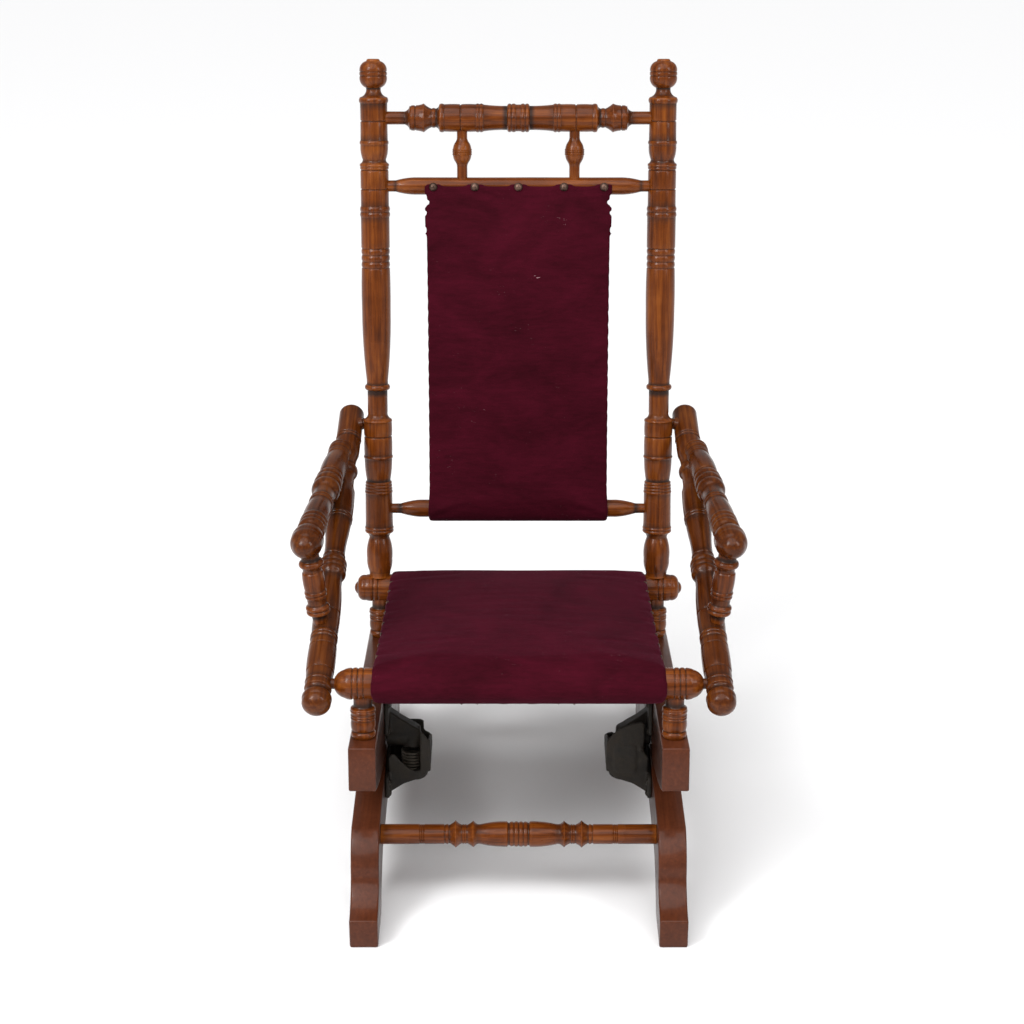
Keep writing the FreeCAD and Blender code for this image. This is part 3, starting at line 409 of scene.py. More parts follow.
def canvas(name, thread):
    """Plain undyed canvas: a fine over-and-under weave, a little stained."""
    cloth = Finish(name)
    room = cloth.place()
    across, down = (
        cloth.add(
            "ShaderNodeTexWave", {"Vector": room, "Scale": 260.0, "Distortion": 0.6},
            wave_type="BANDS", bands_direction=way,
        ).outputs["Fac"]
        for way in ("X", "DIAGONAL")
    )
    weave = cloth.times(across, down)
    stain = cloth.noise(room, 14.0, 4.0, 0.6)
    stained = scaled(thread, 0.55)
    colour = cloth.ramp(cloth.between(stain, 0.3, 0.7), (0.0, stained), (1.0, thread))
    colour = cloth.mix(cloth.between(weave, 0.0, 0.5, 0.35, 0.0), colour, scaled(thread, 0.35))
    normal = cloth.bump(weave, 0.5, 0.0006)
    return cloth.finish(base_color=colour, roughness=0.92, normal=normal, sheen_weight=0.15)


def metal(name, dark, light, metallic, smooth, grit):
    """Iron, steel or brass with a mottled, slightly pitted face."""
    skin = Finish(name)
    room = skin.place()
    mottle = skin.noise(room, 55.0, 5.0, 0.65)
    pits = skin.noise(room, 700.0, 3.0, 0.6)
    colour = skin.ramp(skin.between(mottle, 0.32, 0.7), (0.0, dark), (1.0, light))
    colour = skin.mix(skin.between(pits, 0.5, 0.75, 0.0, 0.6), colour, scaled(dark, 0.4))
    rough = skin.between(mottle, 0.3, 0.7, smooth, smooth + 0.2)
    normal = skin.bump(pits, grit, 0.0008)
    return skin.finish(base_color=colour, roughness=rough, normal=normal, metallic=metallic)


def leather(name, dark, light):
    hide = Finish(name)
    room = hide.place()
    cells = hide.add("ShaderNodeTexVoronoi", {"Vector": room, "Scale": 900.0}).outputs["Distance"]
    patches = hide.noise(room, 60.0, 4.0, 0.6)
    colour = hide.ramp(hide.between(patches, 0.3, 0.7), (0.0, dark), (1.0, light))
    normal = hide.bump(cells, 0.4, 0.0005)
    return hide.finish(base_color=colour, roughness=0.62, normal=normal)


TURNED_WOOD = varnished_wood(
    "turned_wood", "grain", (1.0, 1.0, 0.045), (0.034, 0.0075, 0.0018),
    (0.116, 0.026, 0.0030), (0.225, 0.062, 0.0080), 0.27,
)
BOARD_WOOD = varnished_wood(
    "board_wood", None, (1.0, 0.045, 1.0), (0.015, 0.0044, 0.0024),
    (0.042, 0.0108, 0.0048), (0.088, 0.0235, 0.0090), 0.34,
)
DOWEL_WOOD = varnished_wood(
    "dowel_wood", None, (0.06, 1.0, 1.0), (0.024, 0.006, 0.0022),
    (0.062, 0.015, 0.0035), (0.11, 0.031, 0.006), 0.33, hollows=False,
)
VELVET = velvet(
    "burgundy_velvet", (0.024, 0.0010, 0.0038), (0.056, 0.0026, 0.0098), (0.50, 0.09, 0.2),
)
CANVAS = canvas("plain_canvas", (0.42, 0.34, 0.23))
IRON = metal("dark_iron", (0.010, 0.008, 0.0058), (0.036, 0.027, 0.018), 0.3, 0.52, 0.35)
# Painted light: the coil's steel is drawn much lighter than the iron so that it shows in the seat's
# shadow.
LIT_SPRING_STEEL = metal("spring_steel", (0.05, 0.042, 0.033), (0.16, 0.135, 0.105), 0.6, 0.36, 0.15)
SCREW_STEEL = metal("screw_steel", (0.03, 0.026, 0.022), (0.11, 0.095, 0.078), 0.8, 0.35, 0.15)
NAIL_BRASS = metal("nail_brass", (0.04, 0.024, 0.017), (0.17, 0.10, 0.075), 0.85, 0.3, 0.2)
LEATHER = leather("pad_leather", (0.02, 0.011, 0.007), (0.06, 0.034, 0.02))


# ============================ making pieces ============================


def close_up(bm, gap=0.002):
    """Merges doubles and turns every face outward."""
    bmesh.ops.remove_doubles(bm, verts=bm.verts, dist=gap)
    bmesh.ops.recalc_face_normals(bm, faces=bm.faces)


def grow(bm, face, by):
    """Extrudes one face into a solid, by a vector."""
    grown = bmesh.ops.extrude_face_region(bm, geom=[face])
    moved = [g for g in grown["geom"] if isinstance(g, bmesh.types.BMVert)]
    bmesh.ops.translate(bm, verts=moved, vec=by)


def block(bm, points, by):
    """Adds a solid that runs from a flat outline, by a vector."""
    grow(bm, bm.faces.new([bm.verts.new(p) for p in points]), by)


def gather(bm, one):
    """Moves all of one bmesh into another."""
    mesh = bpy.data.meshes.new("gathered")
    one.to_mesh(mesh)
    one.free()
    bm.from_mesh(mesh)
    bpy.data.meshes.remove(mesh)


def relax(bm, rounds):
    for _ in range(rounds):
        bmesh.ops.smooth_vert(
            bm, verts=bm.verts, factor=0.5, use_axis_x=True, use_axis_y=True, use_axis_z=True,
        )


def show(name, data):
    made = bpy.data.objects.new(name, data)
    bpy.context.scene.collection.objects.link(made)
    return made


def piece(name, bm, material, body, nodes=(), crease=40):
    """Finishes a bmesh in chair millimetres as an object that rides on a body."""
    bm.transform(Matrix.Scale(MM, 4))
    mesh = bpy.data.meshes.new(name)
    bm.to_mesh(mesh)
    bm.free()
    mesh.shade_smooth()
    mesh.set_sharp_from_angle(angle=math.radians(crease))
    mesh.materials.append(material)
    made = show(name, mesh)
    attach(made, body)
    if nodes:
        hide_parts(*nodes)
    return made


def settle(made):
    """Makes an object's modifiers part of its mesh."""
    graph = bpy.context.evaluated_depsgraph_get()
    mesh = bpy.data.meshes.new_from_object(made.evaluated_get(graph))
    made.modifiers.clear()
    made.data = mesh


def fuse(made, voxel):
    """Remeshes overlapping solids into one skin of even grain."""
    skin = made.modifiers.new("fuse", "REMESH")
    skin.mode = "VOXEL"
    skin.voxel_size = voxel * MM
    settle(made)


@contextlib.contextmanager
def reshaped(made):
    """Opens a piece's mesh for shaping and puts the result back."""
    shape = bmesh.new()
    shape.from_mesh(made.data)
    yield shape
    shape.to_mesh(made.data)
    shape.free()


# ---- turned work ----


def dome_bulge(radius, height):
    half_chord = math.hypot(radius, height) / 2
    return half_chord * math.tan(math.atan2(height, radius) / 2)


def swell(here, there, bulge):
    """Points on the arc from here to there, which are (radius, height)."""
    chord = there - here
    side = Vector((chord.y, -chord.x)).normalized() * (1 if bulge > 0 else -1)
    ahead = chord.normalized()
    half = 2 * math.atan(2 * abs(bulge) / chord.length)
    radius = chord.length / (2 * math.sin(half))
    count = max(3, min(12, int(chord.length * half / 1.6) + 3))
    points = []
    for i in range(1, count + 1):
        a = -half + 2 * half * i / count
        run = radius * (math.sin(a) + math.sin(half))
        rise = radius * (math.cos(a) - math.cos(half))
        points.append(here + ahead * run + side * rise)
    return points


def outline_of(start, steps):
    """A turning's outline from end to end, as (radius, height) points on a fine line."""
    here = Vector((start, 0.0))
    points = [Vector((0.0, 0.0))] if start > 0 else []
    points.append(here)
    height = 0.0
    for length, radius, bulge in steps:
        height += length
        there = Vector((radius, height))
        if bulge is DOME:
            bulge = dome_bulge(max(here.x, radius), length)
        if bulge:
            points += swell(here, there, bulge)
        else:
            run = (there - here).length
            pieces = max(1, int(run / 9))
            points += [here.lerp(there, i / pieces) for i in range(1, pieces + 1)]
        here = there
    if here.x > 0:
        points.append(Vector((0.0, height)))
    return points


def eased(points, ease=0.55):
    """Takes the sharp corners off an outline, as wear and varnish do."""
    out = [points[0]]
    for before, here, after in zip(points, points[1:], points[2:]):
        a = here - before
        b = after - here
        if min(a.length, b.length) < 0.05 or a.angle(b) < math.radians(20):
            out.append(here)
            continue
        first = here - a.normalized() * min(ease, 0.42 * a.length)
        last = here + b.normalized() * min(ease, 0.42 * b.length)
        out += [first, (first + 2 * here + last) / 4, last]
    return out + [points[-1]]


def hollow_at(points, index, reach=4.5):
    """How deep an outline point lies below its surroundings, from -1 for a ridge to 1."""
    here = points[index]
    total = 0.0
    weight = 0.0
    for a, b in zip(points, points[1:]):
        middle = (a + b) / 2
        away = abs(middle.y - here.y)
        if away < reach:
            share = (b - a).length * (1 - away / reach)
            total += middle.x * share
            weight += share
    if weight == 0:
        return 0.0
    run = points[min(index + 1, len(points) - 1)] - points[max(index - 1, 0)]
    upright = abs(run.y) / max(run.length, 1e-6)  # 0 on an end face, 1 on a straight side
    return max(-1.0, min(1.0, upright ** 2 * (total / weight - here.x) / 1.3))


def spun(points, around=56):
    """A bmesh turned about Z from an outline, with its grain and hollow attributes."""
    bm = bmesh.new()
    hollow = bm.verts.layers.float.new("hollow")
    verts = []
    for index, point in enumerate(points):
        vert = bm.verts.new((point.x, 0, point.y))
        vert[hollow] = hollow_at(points, index)
        verts.append(vert)
    edges = [bm.edges.new(pair) for pair in zip(verts, verts[1:])]
    bmesh.ops.spin(
        bm, geom=verts + edges, cent=(0, 0, 0), axis=(0, 0, 1), angle=2 * math.pi,
        steps=around, use_merge=True,
    )
    close_up(bm)
    return bm


def lay_grain(bm, number):
    """Stores each vertex's place in its own billet of wood, before the piece is put up."""
    grain = bm.verts.layers.float_vector.new("grain")
    heart = Vector((9.0 + 3.0 * math.sin(number * 2.1), 7.0 * math.cos(number), 137.0 * number))
    for vert in bm.verts:
        vert[grain] = (vert.co + heart) * MM


billets = itertools.count(1)


def set_stain_and_shade(bm, share):
    """Stores how dark a piece is drawn, 1 being the lightest: partly its stain, partly painted
    shade.
    """
    stain_and_shade = bm.verts.layers.float.new("stain_and_shade")
    for vert in bm.verts:
        vert[stain_and_shade] = share


def turning(name, start, steps, place, body, *nodes, around=56, wander=0.12, share=1.0):
    """A turned piece of wood: its outline spun, made a little uneven and put in place."""
    bm = spun(eased(outline_of(start, steps)), around)
    number = next(billets)
    lay_grain(bm, number)
    set_stain_and_shade(bm, share)
    for vert in bm.verts:
        spot = Vector((vert.co.x * 0.02, vert.co.y * 0.02, vert.co.z * 0.012 + 31 * number))
        reach = Vector((vert.co.x, vert.co.y, 0))
        if reach.length > 0.5:
            vert.co += reach.normalized() * noise.noise(spot) * wander * 2
    bm.transform(place)
    piece(name, bm, TURNED_WOOD, body, nodes)


def length_of(steps):
    return sum(step[0] for step in steps)


def both_halves(start, steps):
    radii = [start] + [step[1] for step in steps]
    back = [(steps[i][0], radii[i], steps[i][2]) for i in reversed(range(len(steps)))]
    return list(steps) + back


def across(reach, y, z, place=CHAIR):
    """Lays a turning along X, centred, at a height and depth."""
    return place @ aim(Vector((-reach, y, z)), Vector((reach, y, z)))


def between_posts(name, up, start, half, node):
    inner = HALF_SPACING - 14
    steps = list(half)
    steps[0] = (steps[0][0] + 8, steps[0][1], steps[0][2])
    if length_of(steps) < inner:
        steps.append((inner - length_of(steps), steps[-1][1], 0))
    reach = length_of(steps)
    turning(name, start, both_halves(start, steps), across(reach, 0, up, BACK), "upper_frame", node)


# ============================ turned frame ============================

for end, word in ((-1, "front"), (1, "rear")):
    node = word + "_stretcher"
    steps = both_halves(13.5, STRETCHER_HALF)
    reach = length_of(steps) / 2
    place = across(reach, BASE_CENTRE_Y + end * STRETCHER_Y, STRETCHER_Z)
    turning(node + "_turned", 13.5, steps, place, "base", node)

for side, word in SIDES:
    x = side * HALF_SPACING
    post = BACK @ Matrix.Translation((x, 0, POST_START))
    turning(word + "_post_turned", 15.0, [(0.5, 15.0, 0)] + POST_STEPS, post, "upper_frame",
            word + "_back_post")
    for end, rail in (("front", FRONT_RAIL), ("rear", REAR_RAIL)):
        top = ROCKER_TOP + length_of(LEG_STEPS)
        neck = rail[1] - 4 - top
        steps = [(neck, 12.2, 0)] + LEG_STEPS
        place = UPPER @ aim(Vector((x, rail[0], top + neck)), Vector((x, rail[0], ROCKER_TOP)))
        turning("%s_%s_leg_turned" % (word, end), 12.2, steps, place, "upper_frame",
                "%s_%s_leg" % (word, end))

for name, rail, radius, end_steps in (
    ("front_seat_rail", FRONT_RAIL, FRONT_RAIL_R, FRONT_RAIL_END),
    ("rear_seat_rail", REAR_RAIL, REAR_RAIL_R, REAR_RAIL_END),
):
    half = list(end_steps) + [(RAIL_HALF - length_of(end_steps), radius, 0)]
    place = across(RAIL_HALF, rail[0], rail[1], UPPER)
    turning(name + "_turned", 0, both_halves(0, half), place, "upper_frame", name)

for side, word in SIDES:
    x = side * SIDE_RAIL_X
    span = REAR_RAIL[0] - FRONT_RAIL[0]
    half = SIDE_RAIL_HALF + [(span / 2 - length_of(SIDE_RAIL_HALF), SIDE_RAIL_R, 0)]
    front = Vector((x, *FRONT_RAIL))
    place = UPPER @ aim(front, Vector((x, *REAR_RAIL)))
    turning(word + "_side_rail_turned", 13.5, both_halves(13.5, half), place, "upper_frame",
            word + "_side_rail")

between_posts("crest_rail_turned", CREST_AT, 9.2, CREST_HALF, "crest_rail")
between_posts("upper_back_rail_turned", UPPER_RAIL_AT, 8.0, UPPER_RAIL_HALF, "upper_back_rail")
between_posts("lower_back_rail_turned", LOWER_RAIL_AT, 7.0, LOWER_RAIL_HALF, "lower_back_rail")

for side, word in SIDES:
    steps = both_halves(7.4, SPINDLE_HALF)
    pad = (CREST_AT - UPPER_RAIL_AT - length_of(steps)) / 2
    steps = [(pad - 4, 7.4, 0)] + steps + [(pad - 4, 7.4, 0)]
    place = BACK @ Matrix.Translation((side * SPINDLE_X, 0, UPPER_RAIL_AT + 4))
    turning(word + "_spindle_turned", 7.4, steps, place, "upper_frame", word + "_spindle")

for side, word in SIDES:
    top = Vector((side * BRACE_TOP[0], BRACE_TOP[1], BRACE_TOP[2]))
    at_rail = UPPER @ Vector((side * BRACE_RAIL_X, *FRONT_RAIL))
    head = along(top, at_rail, -BRACE_HEAD)
    # Braces, arms and supports are drawn darker: partly their stain, partly painted shade.
    turning(word + "_brace_turned", 0, BRACE_STEPS, aim(head, at_rail), "upper_frame",
            word + "_side_brace", share=0.62)
    arm_start = Vector((side * ARM_REAR[0], ARM_REAR[1], ARM_REAR[2]))
    arm_end = Vector((side * ARM_FRONT[0], ARM_FRONT[1], ARM_FRONT[2]))
    longer = [(length * ARM_STRETCH, radius, bulge) for length, radius, bulge in ARM_STEPS[:-1]]
    longer.append(ARM_STEPS[-1])
    turning(word + "_arm_turned", 12.0, longer, aim(arm_start, arm_end), "upper_frame",
            word + "_arm_rest", share=0.6)
    foot = Vector((side * SUPPORT_FOOT[0], SUPPORT_FOOT[1], SUPPORT_FOOT[2]))
    high = Vector((side * SUPPORT_TOP[0], SUPPORT_TOP[1], SUPPORT_TOP[2]))
    turning(word + "_support_turned", 8.0, SUPPORT_STEPS, aim(foot, high), "upper_frame",
            word + "_arm_support", share=0.95)


# ============================ boards and rockers ============================


def bend(first, middle, last, pieces=9):
    """Points on the arc through three (y, z) points, without the first."""
    ax, ay = first
    bx, by = middle
    cx, cy = last
    d = 2 * (ax * (by - cy) + bx * (cy - ay) + cx * (ay - by))
    a2 = ax * ax + ay * ay
    b2 = bx * bx + by * by
    c2 = cx * cx + cy * cy
    centre = Vector(((a2 * (by - cy) + b2 * (cy - ay) + c2 * (ay - by)) / d,
                     (a2 * (cx - bx) + b2 * (ax - cx) + c2 * (bx - ax)) / d))
    from_centre = Vector(first) - centre
    whole = from_centre.angle_signed(Vector(middle) - centre)
    whole += (Vector(middle) - centre).angle_signed(Vector(last) - centre)
    points = []
    for i in range(1, pieces + 1):
        turn = Matrix.Rotation(-whole * i / pieces, 2)
        points.append(tuple(centre + turn @ from_centre))
    return points


def plank(outline, x0, x1, ease, rim=4.0):
    """A board cut to an outline of (y, z) points, with eased rims drawn lighter as wear and painted
    highlight.
    """
    bm = bmesh.new()
    hollow = bm.verts.layers.float.new("hollow")
    block(bm, [(x0, y, z) for y, z in outline], (x1 - x0, 0, 0))
    close_up(bm)
    rims = [e for e in bm.edges if abs(e.verts[0].co.x - e.verts[1].co.x) < 0.01]
    corners = [
        e for e in bm.edges
        if abs(e.verts[0].co.x - e.verts[1].co.x) > 0.01 and e.calc_face_angle(0) > 0.5
    ]
    bmesh.ops.bevel(
        bm, geom=rims + corners, offset=ease, offset_type="OFFSET", segments=3,
        profile=0.5, affect="EDGES", material=-1, clamp_overlap=True,
    )
    # Every vertex starts as a ridge, so the rims come out lighter as wear and painted highlight;
    # the inset faces go back to plain.
    for vert in bm.verts:
        vert[hollow] = -0.9
    sides = [f for f in bm.faces if len(f.verts) > 8]
    bmesh.ops.inset_region(bm, faces=sides, thickness=rim, use_even_offset=True)
    inner = {v for f in sides for v in f.verts}
    for vert in inner:
        vert[hollow] = 0.0
    set_stain_and_shade(bm, 1.0)
    return bm


def base_outline():
    half = BASE_LENGTH / 2
    mid = BASE_CENTRE_Y

    def end(sign):
        points = [(mid + sign * half, 0.0), (mid + sign * half, TOE_HEIGHT)]
        hip = (mid + sign * (half - 52), 74.0)
        points += bend(points[-1], (mid + sign * (half - 30), 51.0), hip)
        brow = (mid + sign * (half - 92), PLATFORM_Z)
        return points + bend(hip, (mid + sign * (half - 66), 112.0), brow)

    def arch(sign):
        toe = (mid + sign * (half - 78), 0.0)
        crown = (mid + sign * (half - 150), ARCH_HEIGHT)
        return [toe] + bend(toe, (mid + sign * (half - 104), 30.0), crown)

    front = end(-1)
    rear = end(1)
    return front + rear[::-1] + arch(1) + arch(-1)[::-1]


def rocker_outline():
    def arc_height(y):
        return ROCKER_RADIUS - math.sqrt(ROCKER_RADIUS ** 2 - y ** 2)

    count = 26
    points = [(ROCKER_FRONT, ROCKER_TOP)]
    for i in range(count + 1):
        y = ROCKER_FRONT + (ROCKER_REAR - ROCKER_FRONT) * i / count
        points.append((y, arc_height(y)))
    return points + [(ROCKER_REAR, ROCKER_TOP)]


for side, word in SIDES:
    x0 = side * BOARD_X - BOARD_THICK / 2
    board = plank(base_outline(), x0, x0 + BOARD_THICK, 2.6)
    piece(word + "_board_shaped", board, BOARD_WOOD, "base", [word + "_base_board"])
    x0 = side * HALF_SPACING - ROCKER_THICK / 2
    rocker = plank(rocker_outline(), x0, x0 + ROCKER_THICK, 2.2)
    rocker.transform(UPPER)
    piece(word + "_rocker_shaped", rocker, BOARD_WOOD, "upper_frame",
          [word + "_rocker"])


# ============================ castings, coils and screws ============================


def drum(bm, radius, top_radius, base, tip):
    """Adds a closed cylinder or cone from base to tip."""
    turn = aim(Vector(base), Vector(tip))
    height = (Vector(tip) - Vector(base)).length
    place = turn @ Matrix.Translation((0, 0, height / 2))
    bmesh.ops.create_cone(bm, cap_ends=True, segments=40, radius1=radius, radius2=top_radius,
                          depth=height, matrix=place)


def slab(bm, side, outline, y0, y1):
    """Adds a slab from y0 to y1 over an outline given for one side of the chair."""
    block(bm, [(side * x, y0, z) for x, z in outline], (0, y1 - y0, 0))


def cut_corners(points, reach=4.0):
    """An outline with its corners cut twice, which rounds them."""
    for _ in range(2):
        out = []
        for before, here, after in zip(points[-1:] + points[:-1], points, points[1:] + points[:1]):
            for other in (before, after):
                way = other - here
                out.append(here + way.normalized() * min(reach, way.length * 0.3))
        points = out
        reach /= 3
    return points


def rounded(outline):
    return [tuple(p) for p in cut_corners([Vector(p) for p in outline])]


def rounded_plate(bm, face, inner, y, size, corner=12.0):
    """Adds a mounting plate whose outline has round corners."""
    half, z0, z1 = size
    verts = [bm.verts.new((inner, y + dy, z)) for dy, z in
             ((-half, z0), (half, z0), (half, z1), (-half, z1))]
    bm.faces.new(verts)
    bmesh.ops.bevel(bm, geom=verts, offset=corner, offset_type="OFFSET", segments=6,
                    profile=0.5, affect="VERTICES", material=-1)
    plate = max((f for f in bm.faces if abs(f.calc_center_median().x - inner) < 0.01),
                key=lambda f: f.calc_area())
    grow(bm, plate, (face - inner, 0, 0))


def as_cast(name, bm, place, body, nodes, grain=1.35):
    """Fuses a casting's solids into one skin with soft fillets and a sand-cast face."""
    bmesh.ops.recalc_face_normals(bm, faces=bm.faces)
    bm.transform(place)
    made = piece(name, bm, IRON, body, nodes, crease=60)
    fuse(made, grain)
    with reshaped(made) as skin:
        relax(skin, 3)
        skin.normal_update()
        for vert in skin.verts:
            lumps = noise.noise(vert.co * 130) * 0.28 + noise.noise(vert.co * 420) * 0.10
            vert.co += vert.normal * lumps * MM
    made.data.shade_smooth()


def cup_ring(bm, x, y, floor, mouth, outer, bore, depth):
    """Adds an open cup, turned as one wall and floor, standing from floor to mouth."""
    sign = 1 if mouth > floor else -1
    height = abs(mouth - floor)
    wall = [(0, 0), (outer, 0), (outer, height), (bore, height),
            (bore, height - depth), (0, height - depth)]
    before = set(bm.verts)
    verts = [bm.verts.new((r, 0, sign * h)) for r, h in wall]
    edges = [bm.edges.new(pair) for pair in zip(verts, verts[1:])]
    bmesh.ops.spin(bm, geom=verts + edges, cent=(0, 0, 0), axis=(0, 0, 1), angle=2 * math.pi,
                   steps=48, use_merge=True)
    made = [v for v in bm.verts if v not in before]
    bmesh.ops.translate(bm, vec=(x, y, floor), verts=made)
    bmesh.ops.remove_doubles(bm, verts=made, dist=0.01)


def screw_heads(name, heads, inward, place, body, node):
    """Slotted round-headed screws, one for each (y, z), on a plate's face."""
    bm = bmesh.new()
    for number, head in enumerate(heads):
        one = spun([Vector(p) for p in ((0, -1.0), (5.0, -1.0), (5.0, 0.6))]
                   + swell(Vector((5.0, 0.6)), Vector((0.0, 3.0)), dome_bulge(5.0, 2.4)), 28)
        slot_turn = Matrix.Rotation(0.7 + 1.9 * number, 4, "Z")
        for sign in (-1, 1):
            cut = slot_turn @ Vector((sign * 0.55, 0, 0))
            geom = one.verts[:] + one.edges[:] + one.faces[:]
            bmesh.ops.bisect_plane(one, geom=geom, plane_co=cut,
                                   plane_no=slot_turn @ Vector((1, 0, 0)), dist=0.001)
        for vert in one.verts:
            flat = slot_turn.inverted() @ vert.co
            if abs(flat.x) < 0.5501 and flat.z > 1.6:
                vert.co.z = 1.6
        one.transform(aim(Vector(head), Vector(head) + Vector((inward, 0, 0))))
        gather(bm, one)
    bm.transform(place)
    piece(name, bm, SCREW_STEEL, body, [node], crease=35)


def coil(name, side, first_turn, last_turn, wire, body, nodes):
    """Turns first_turn to last_turn of the coil spring, wound by a stepped spin."""
    pitch = (COIL_TOP_Z - COIL_BOTTOM_Z - 2 * COIL_WIRE_R - 1.0) / COIL_TURNS
    bm = bmesh.new()
    ring = bmesh.ops.create_circle(bm, cap_ends=False, segments=14, radius=wire)["verts"]
    bmesh.ops.rotate(bm, verts=ring, cent=(0, 0, 0), matrix=Matrix.Rotation(math.pi / 2, 3, "X"))
    bmesh.ops.translate(bm, verts=ring, vec=(COIL_R, 0, 0))
    turned_by = Matrix.Rotation(2 * math.pi * first_turn, 3, "Z")
    bmesh.ops.rotate(bm, verts=ring, cent=(0, 0, 0), matrix=turned_by)
    bmesh.ops.translate(bm, verts=ring, vec=(0, 0, pitch * first_turn))
    turns = last_turn - first_turn
    steps = int(36 * turns)
    edges = list({e for v in ring for e in v.link_edges})
    bmesh.ops.spin(bm, geom=ring + edges, cent=(0, 0, 0), axis=(0, 0, 1),
                   angle=2 * math.pi * turns, steps=steps, dvec=(0, 0, pitch * turns / steps),
                   use_merge=False)
    ends = [e for e in bm.edges if e.is_boundary]
    bmesh.ops.holes_fill(bm, edges=ends, sides=0)
    bmesh.ops.recalc_face_normals(bm, faces=bm.faces)
    bm.transform(Matrix.Translation((side * SPRING_X, SPRING_Y, COIL_BOTTOM_Z + COIL_WIRE_R)))
    piece(name, bm, LIT_SPRING_STEEL, body, nodes, crease=60)


OUTER = HOUSING_HALF + HOUSING_WALL
INNER_WALL = ((-OUTER + 0.5, 128), (-OUTER + 0.5, 178), (-20, 176), (OUTER - 0.5, 146),
              (OUTER - 0.5, 128))
for side, word in SIDES:
    inner = side * BOARD_INNER
    face = inner - side * PLATE_THICK
    closed = -side
    lower = bmesh.new()
    rounded_plate(lower, face, inner, SPRING_Y, LOWER_PLATE)
    front, rear = (HOUSING, HOUSING_OPEN_LOW) if closed < 0 else (HOUSING_OPEN, HOUSING_LOW)
    slab(lower, side, rounded(front), SPRING_Y - OUTER, SPRING_Y - HOUSING_HALF)
    slab(lower, side, rounded(rear), SPRING_Y + HOUSING_HALF, SPRING_Y + OUTER)
    slab(lower, side, HOUSING_FLOOR, SPRING_Y - OUTER + 0.5, SPRING_Y + OUTER - 0.5)
    near, far = INNER_WALL_X
    block(lower, [(side * near, SPRING_Y + y, z) for y, z in INNER_WALL],
          (side * (far - near), 0, 0))
    slab(lower, side, rounded(PANEL), SPRING_Y + closed * (OUTER - 1),
         SPRING_Y + closed * (OUTER + 1.3))
    button = Vector((side * 171, SPRING_Y + closed * (OUTER - 2), 165))
    drum(lower, 4.0, 3.2, button, button + Vector((0, closed * 5, 0)))
    cup_ring(lower, side * SPRING_X, SPRING_Y, CUP_FLOOR, 118, 20.5, 18.0, 9.5)
    as_cast(word + "_lower_casting_iron", lower, CHAIR, "base", [word + "_lower_casting"])
    heads = [(face, SPRING_Y + dy, z) for dy, z in LOWER_SCREWS]
    screw_heads(word + "_lower_screw_heads", heads, -side, CHAIR, "base", word + "_lower_screws")

    inner = side * (HALF_SPACING - ROCKER_THICK / 2)
    face = inner - side * PLATE_THICK
    upper = bmesh.new()
    rounded_plate(upper, face, inner, 0, UPPER_PLATE)
    slab(upper, side, UPPER_WEB, -11, 11)
    slab(upper, side, UPPER_FOOT, -12, 12)
    drum(upper, BARREL_R, BARREL_R, (side * 138, 0, BARREL_Z), (side * 186, 0, BARREL_Z))
    drum(upper, 16, 16, (side * SPRING_X, 0, 8), (side * SPRING_X, 0, 22))
    as_cast(word + "_upper_casting_iron", upper, UPPER, "upper_frame", [word + "_upper_casting"])
    heads = [(face, dy, z) for dy, z in UPPER_SCREWS]
    screw_heads(word + "_upper_screw_heads", heads, -side, UPPER, "upper_frame",
                word + "_upper_screws")

    coil(word + "_coil_lower_turns", side, 0.0, 6.5, COIL_WIRE_R, "base", [word + "_coil_spring"])
    coil(word + "_coil_top_turns", side, 4.0, 7.0, COIL_WIRE_R - 0.12, "upper_frame", [])


# ============================ soft covers ============================


def inflate(made, pinned, pressure, cap, voxel=4.6):
    """Remeshes a padded piece and lets cloth swell between the pinned places."""
    fuse(made, voxel)
    before = [v.co.copy() for v in made.data.vertices]
    held = made.vertex_groups.new(name="held")
    for vert in made.data.vertices:
        weight = pinned(vert.co / MM)
        if weight > 0:
            held.add([vert.index], weight, "REPLACE")
    cloth = made.modifiers.new("cloth", "CLOTH")
    cloth.settings.quality = 5
    cloth.settings.mass = 0.4
    cloth.settings.tension_stiffness = 12
    cloth.settings.compression_stiffness = 12
    cloth.settings.bending_stiffness = 0.6
    cloth.settings.use_pressure = True
    cloth.settings.uniform_pressure_force = pressure
    cloth.settings.effector_weights.gravity = 0
    cloth.settings.vertex_group_mass = "held"
    cloth.collision_settings.use_collision = False
    scene = bpy.context.scene
    for step in range(1, 21):
        scene.frame_set(step)
    settle(made)
    scene.frame_set(1)
    for vert, start in zip(made.data.vertices, before):
        moved = vert.co - start
        if moved.length > cap * MM:
            vert.co = start + moved.normalized() * cap * MM
    made.vertex_groups.clear()


def loft(sections):
    """A closed skin through equal loops of points, one loop for each place across."""
    bm = bmesh.new()
    rows = [[bm.verts.new(p) for p in points] for points in sections]
    edges = []
    for row in rows:
        loop = [bm.edges.new((a, b)) for a, b in zip(row, row[1:] + row[:1])]
        edges.append(loop)
    for a, b in zip(edges, edges[1:]):
        bmesh.ops.bridge_loops(bm, edges=a + b)
    bm.faces.new(rows[0])
    bm.faces.new(rows[-1])
    close_up(bm)
    return bm


def arc_points(centre, radius, from_deg, to_deg, pieces):
    points = []
    for i in range(pieces + 1):
        a = math.radians(from_deg + (to_deg - from_deg) * i / pieces)
        points.append((centre[0] + radius * math.cos(a), centre[1] + radius * math.sin(a)))
    return points


# ---- seat ----
SEAT_TACKS = (-158.0, -112.0, -66.0, -20.0, 28.0, 76.0, 124.0, 168.0)
LIP_R = FRONT_RAIL_R + 6.0
TAIL_R = REAR_RAIL_R + 6.0


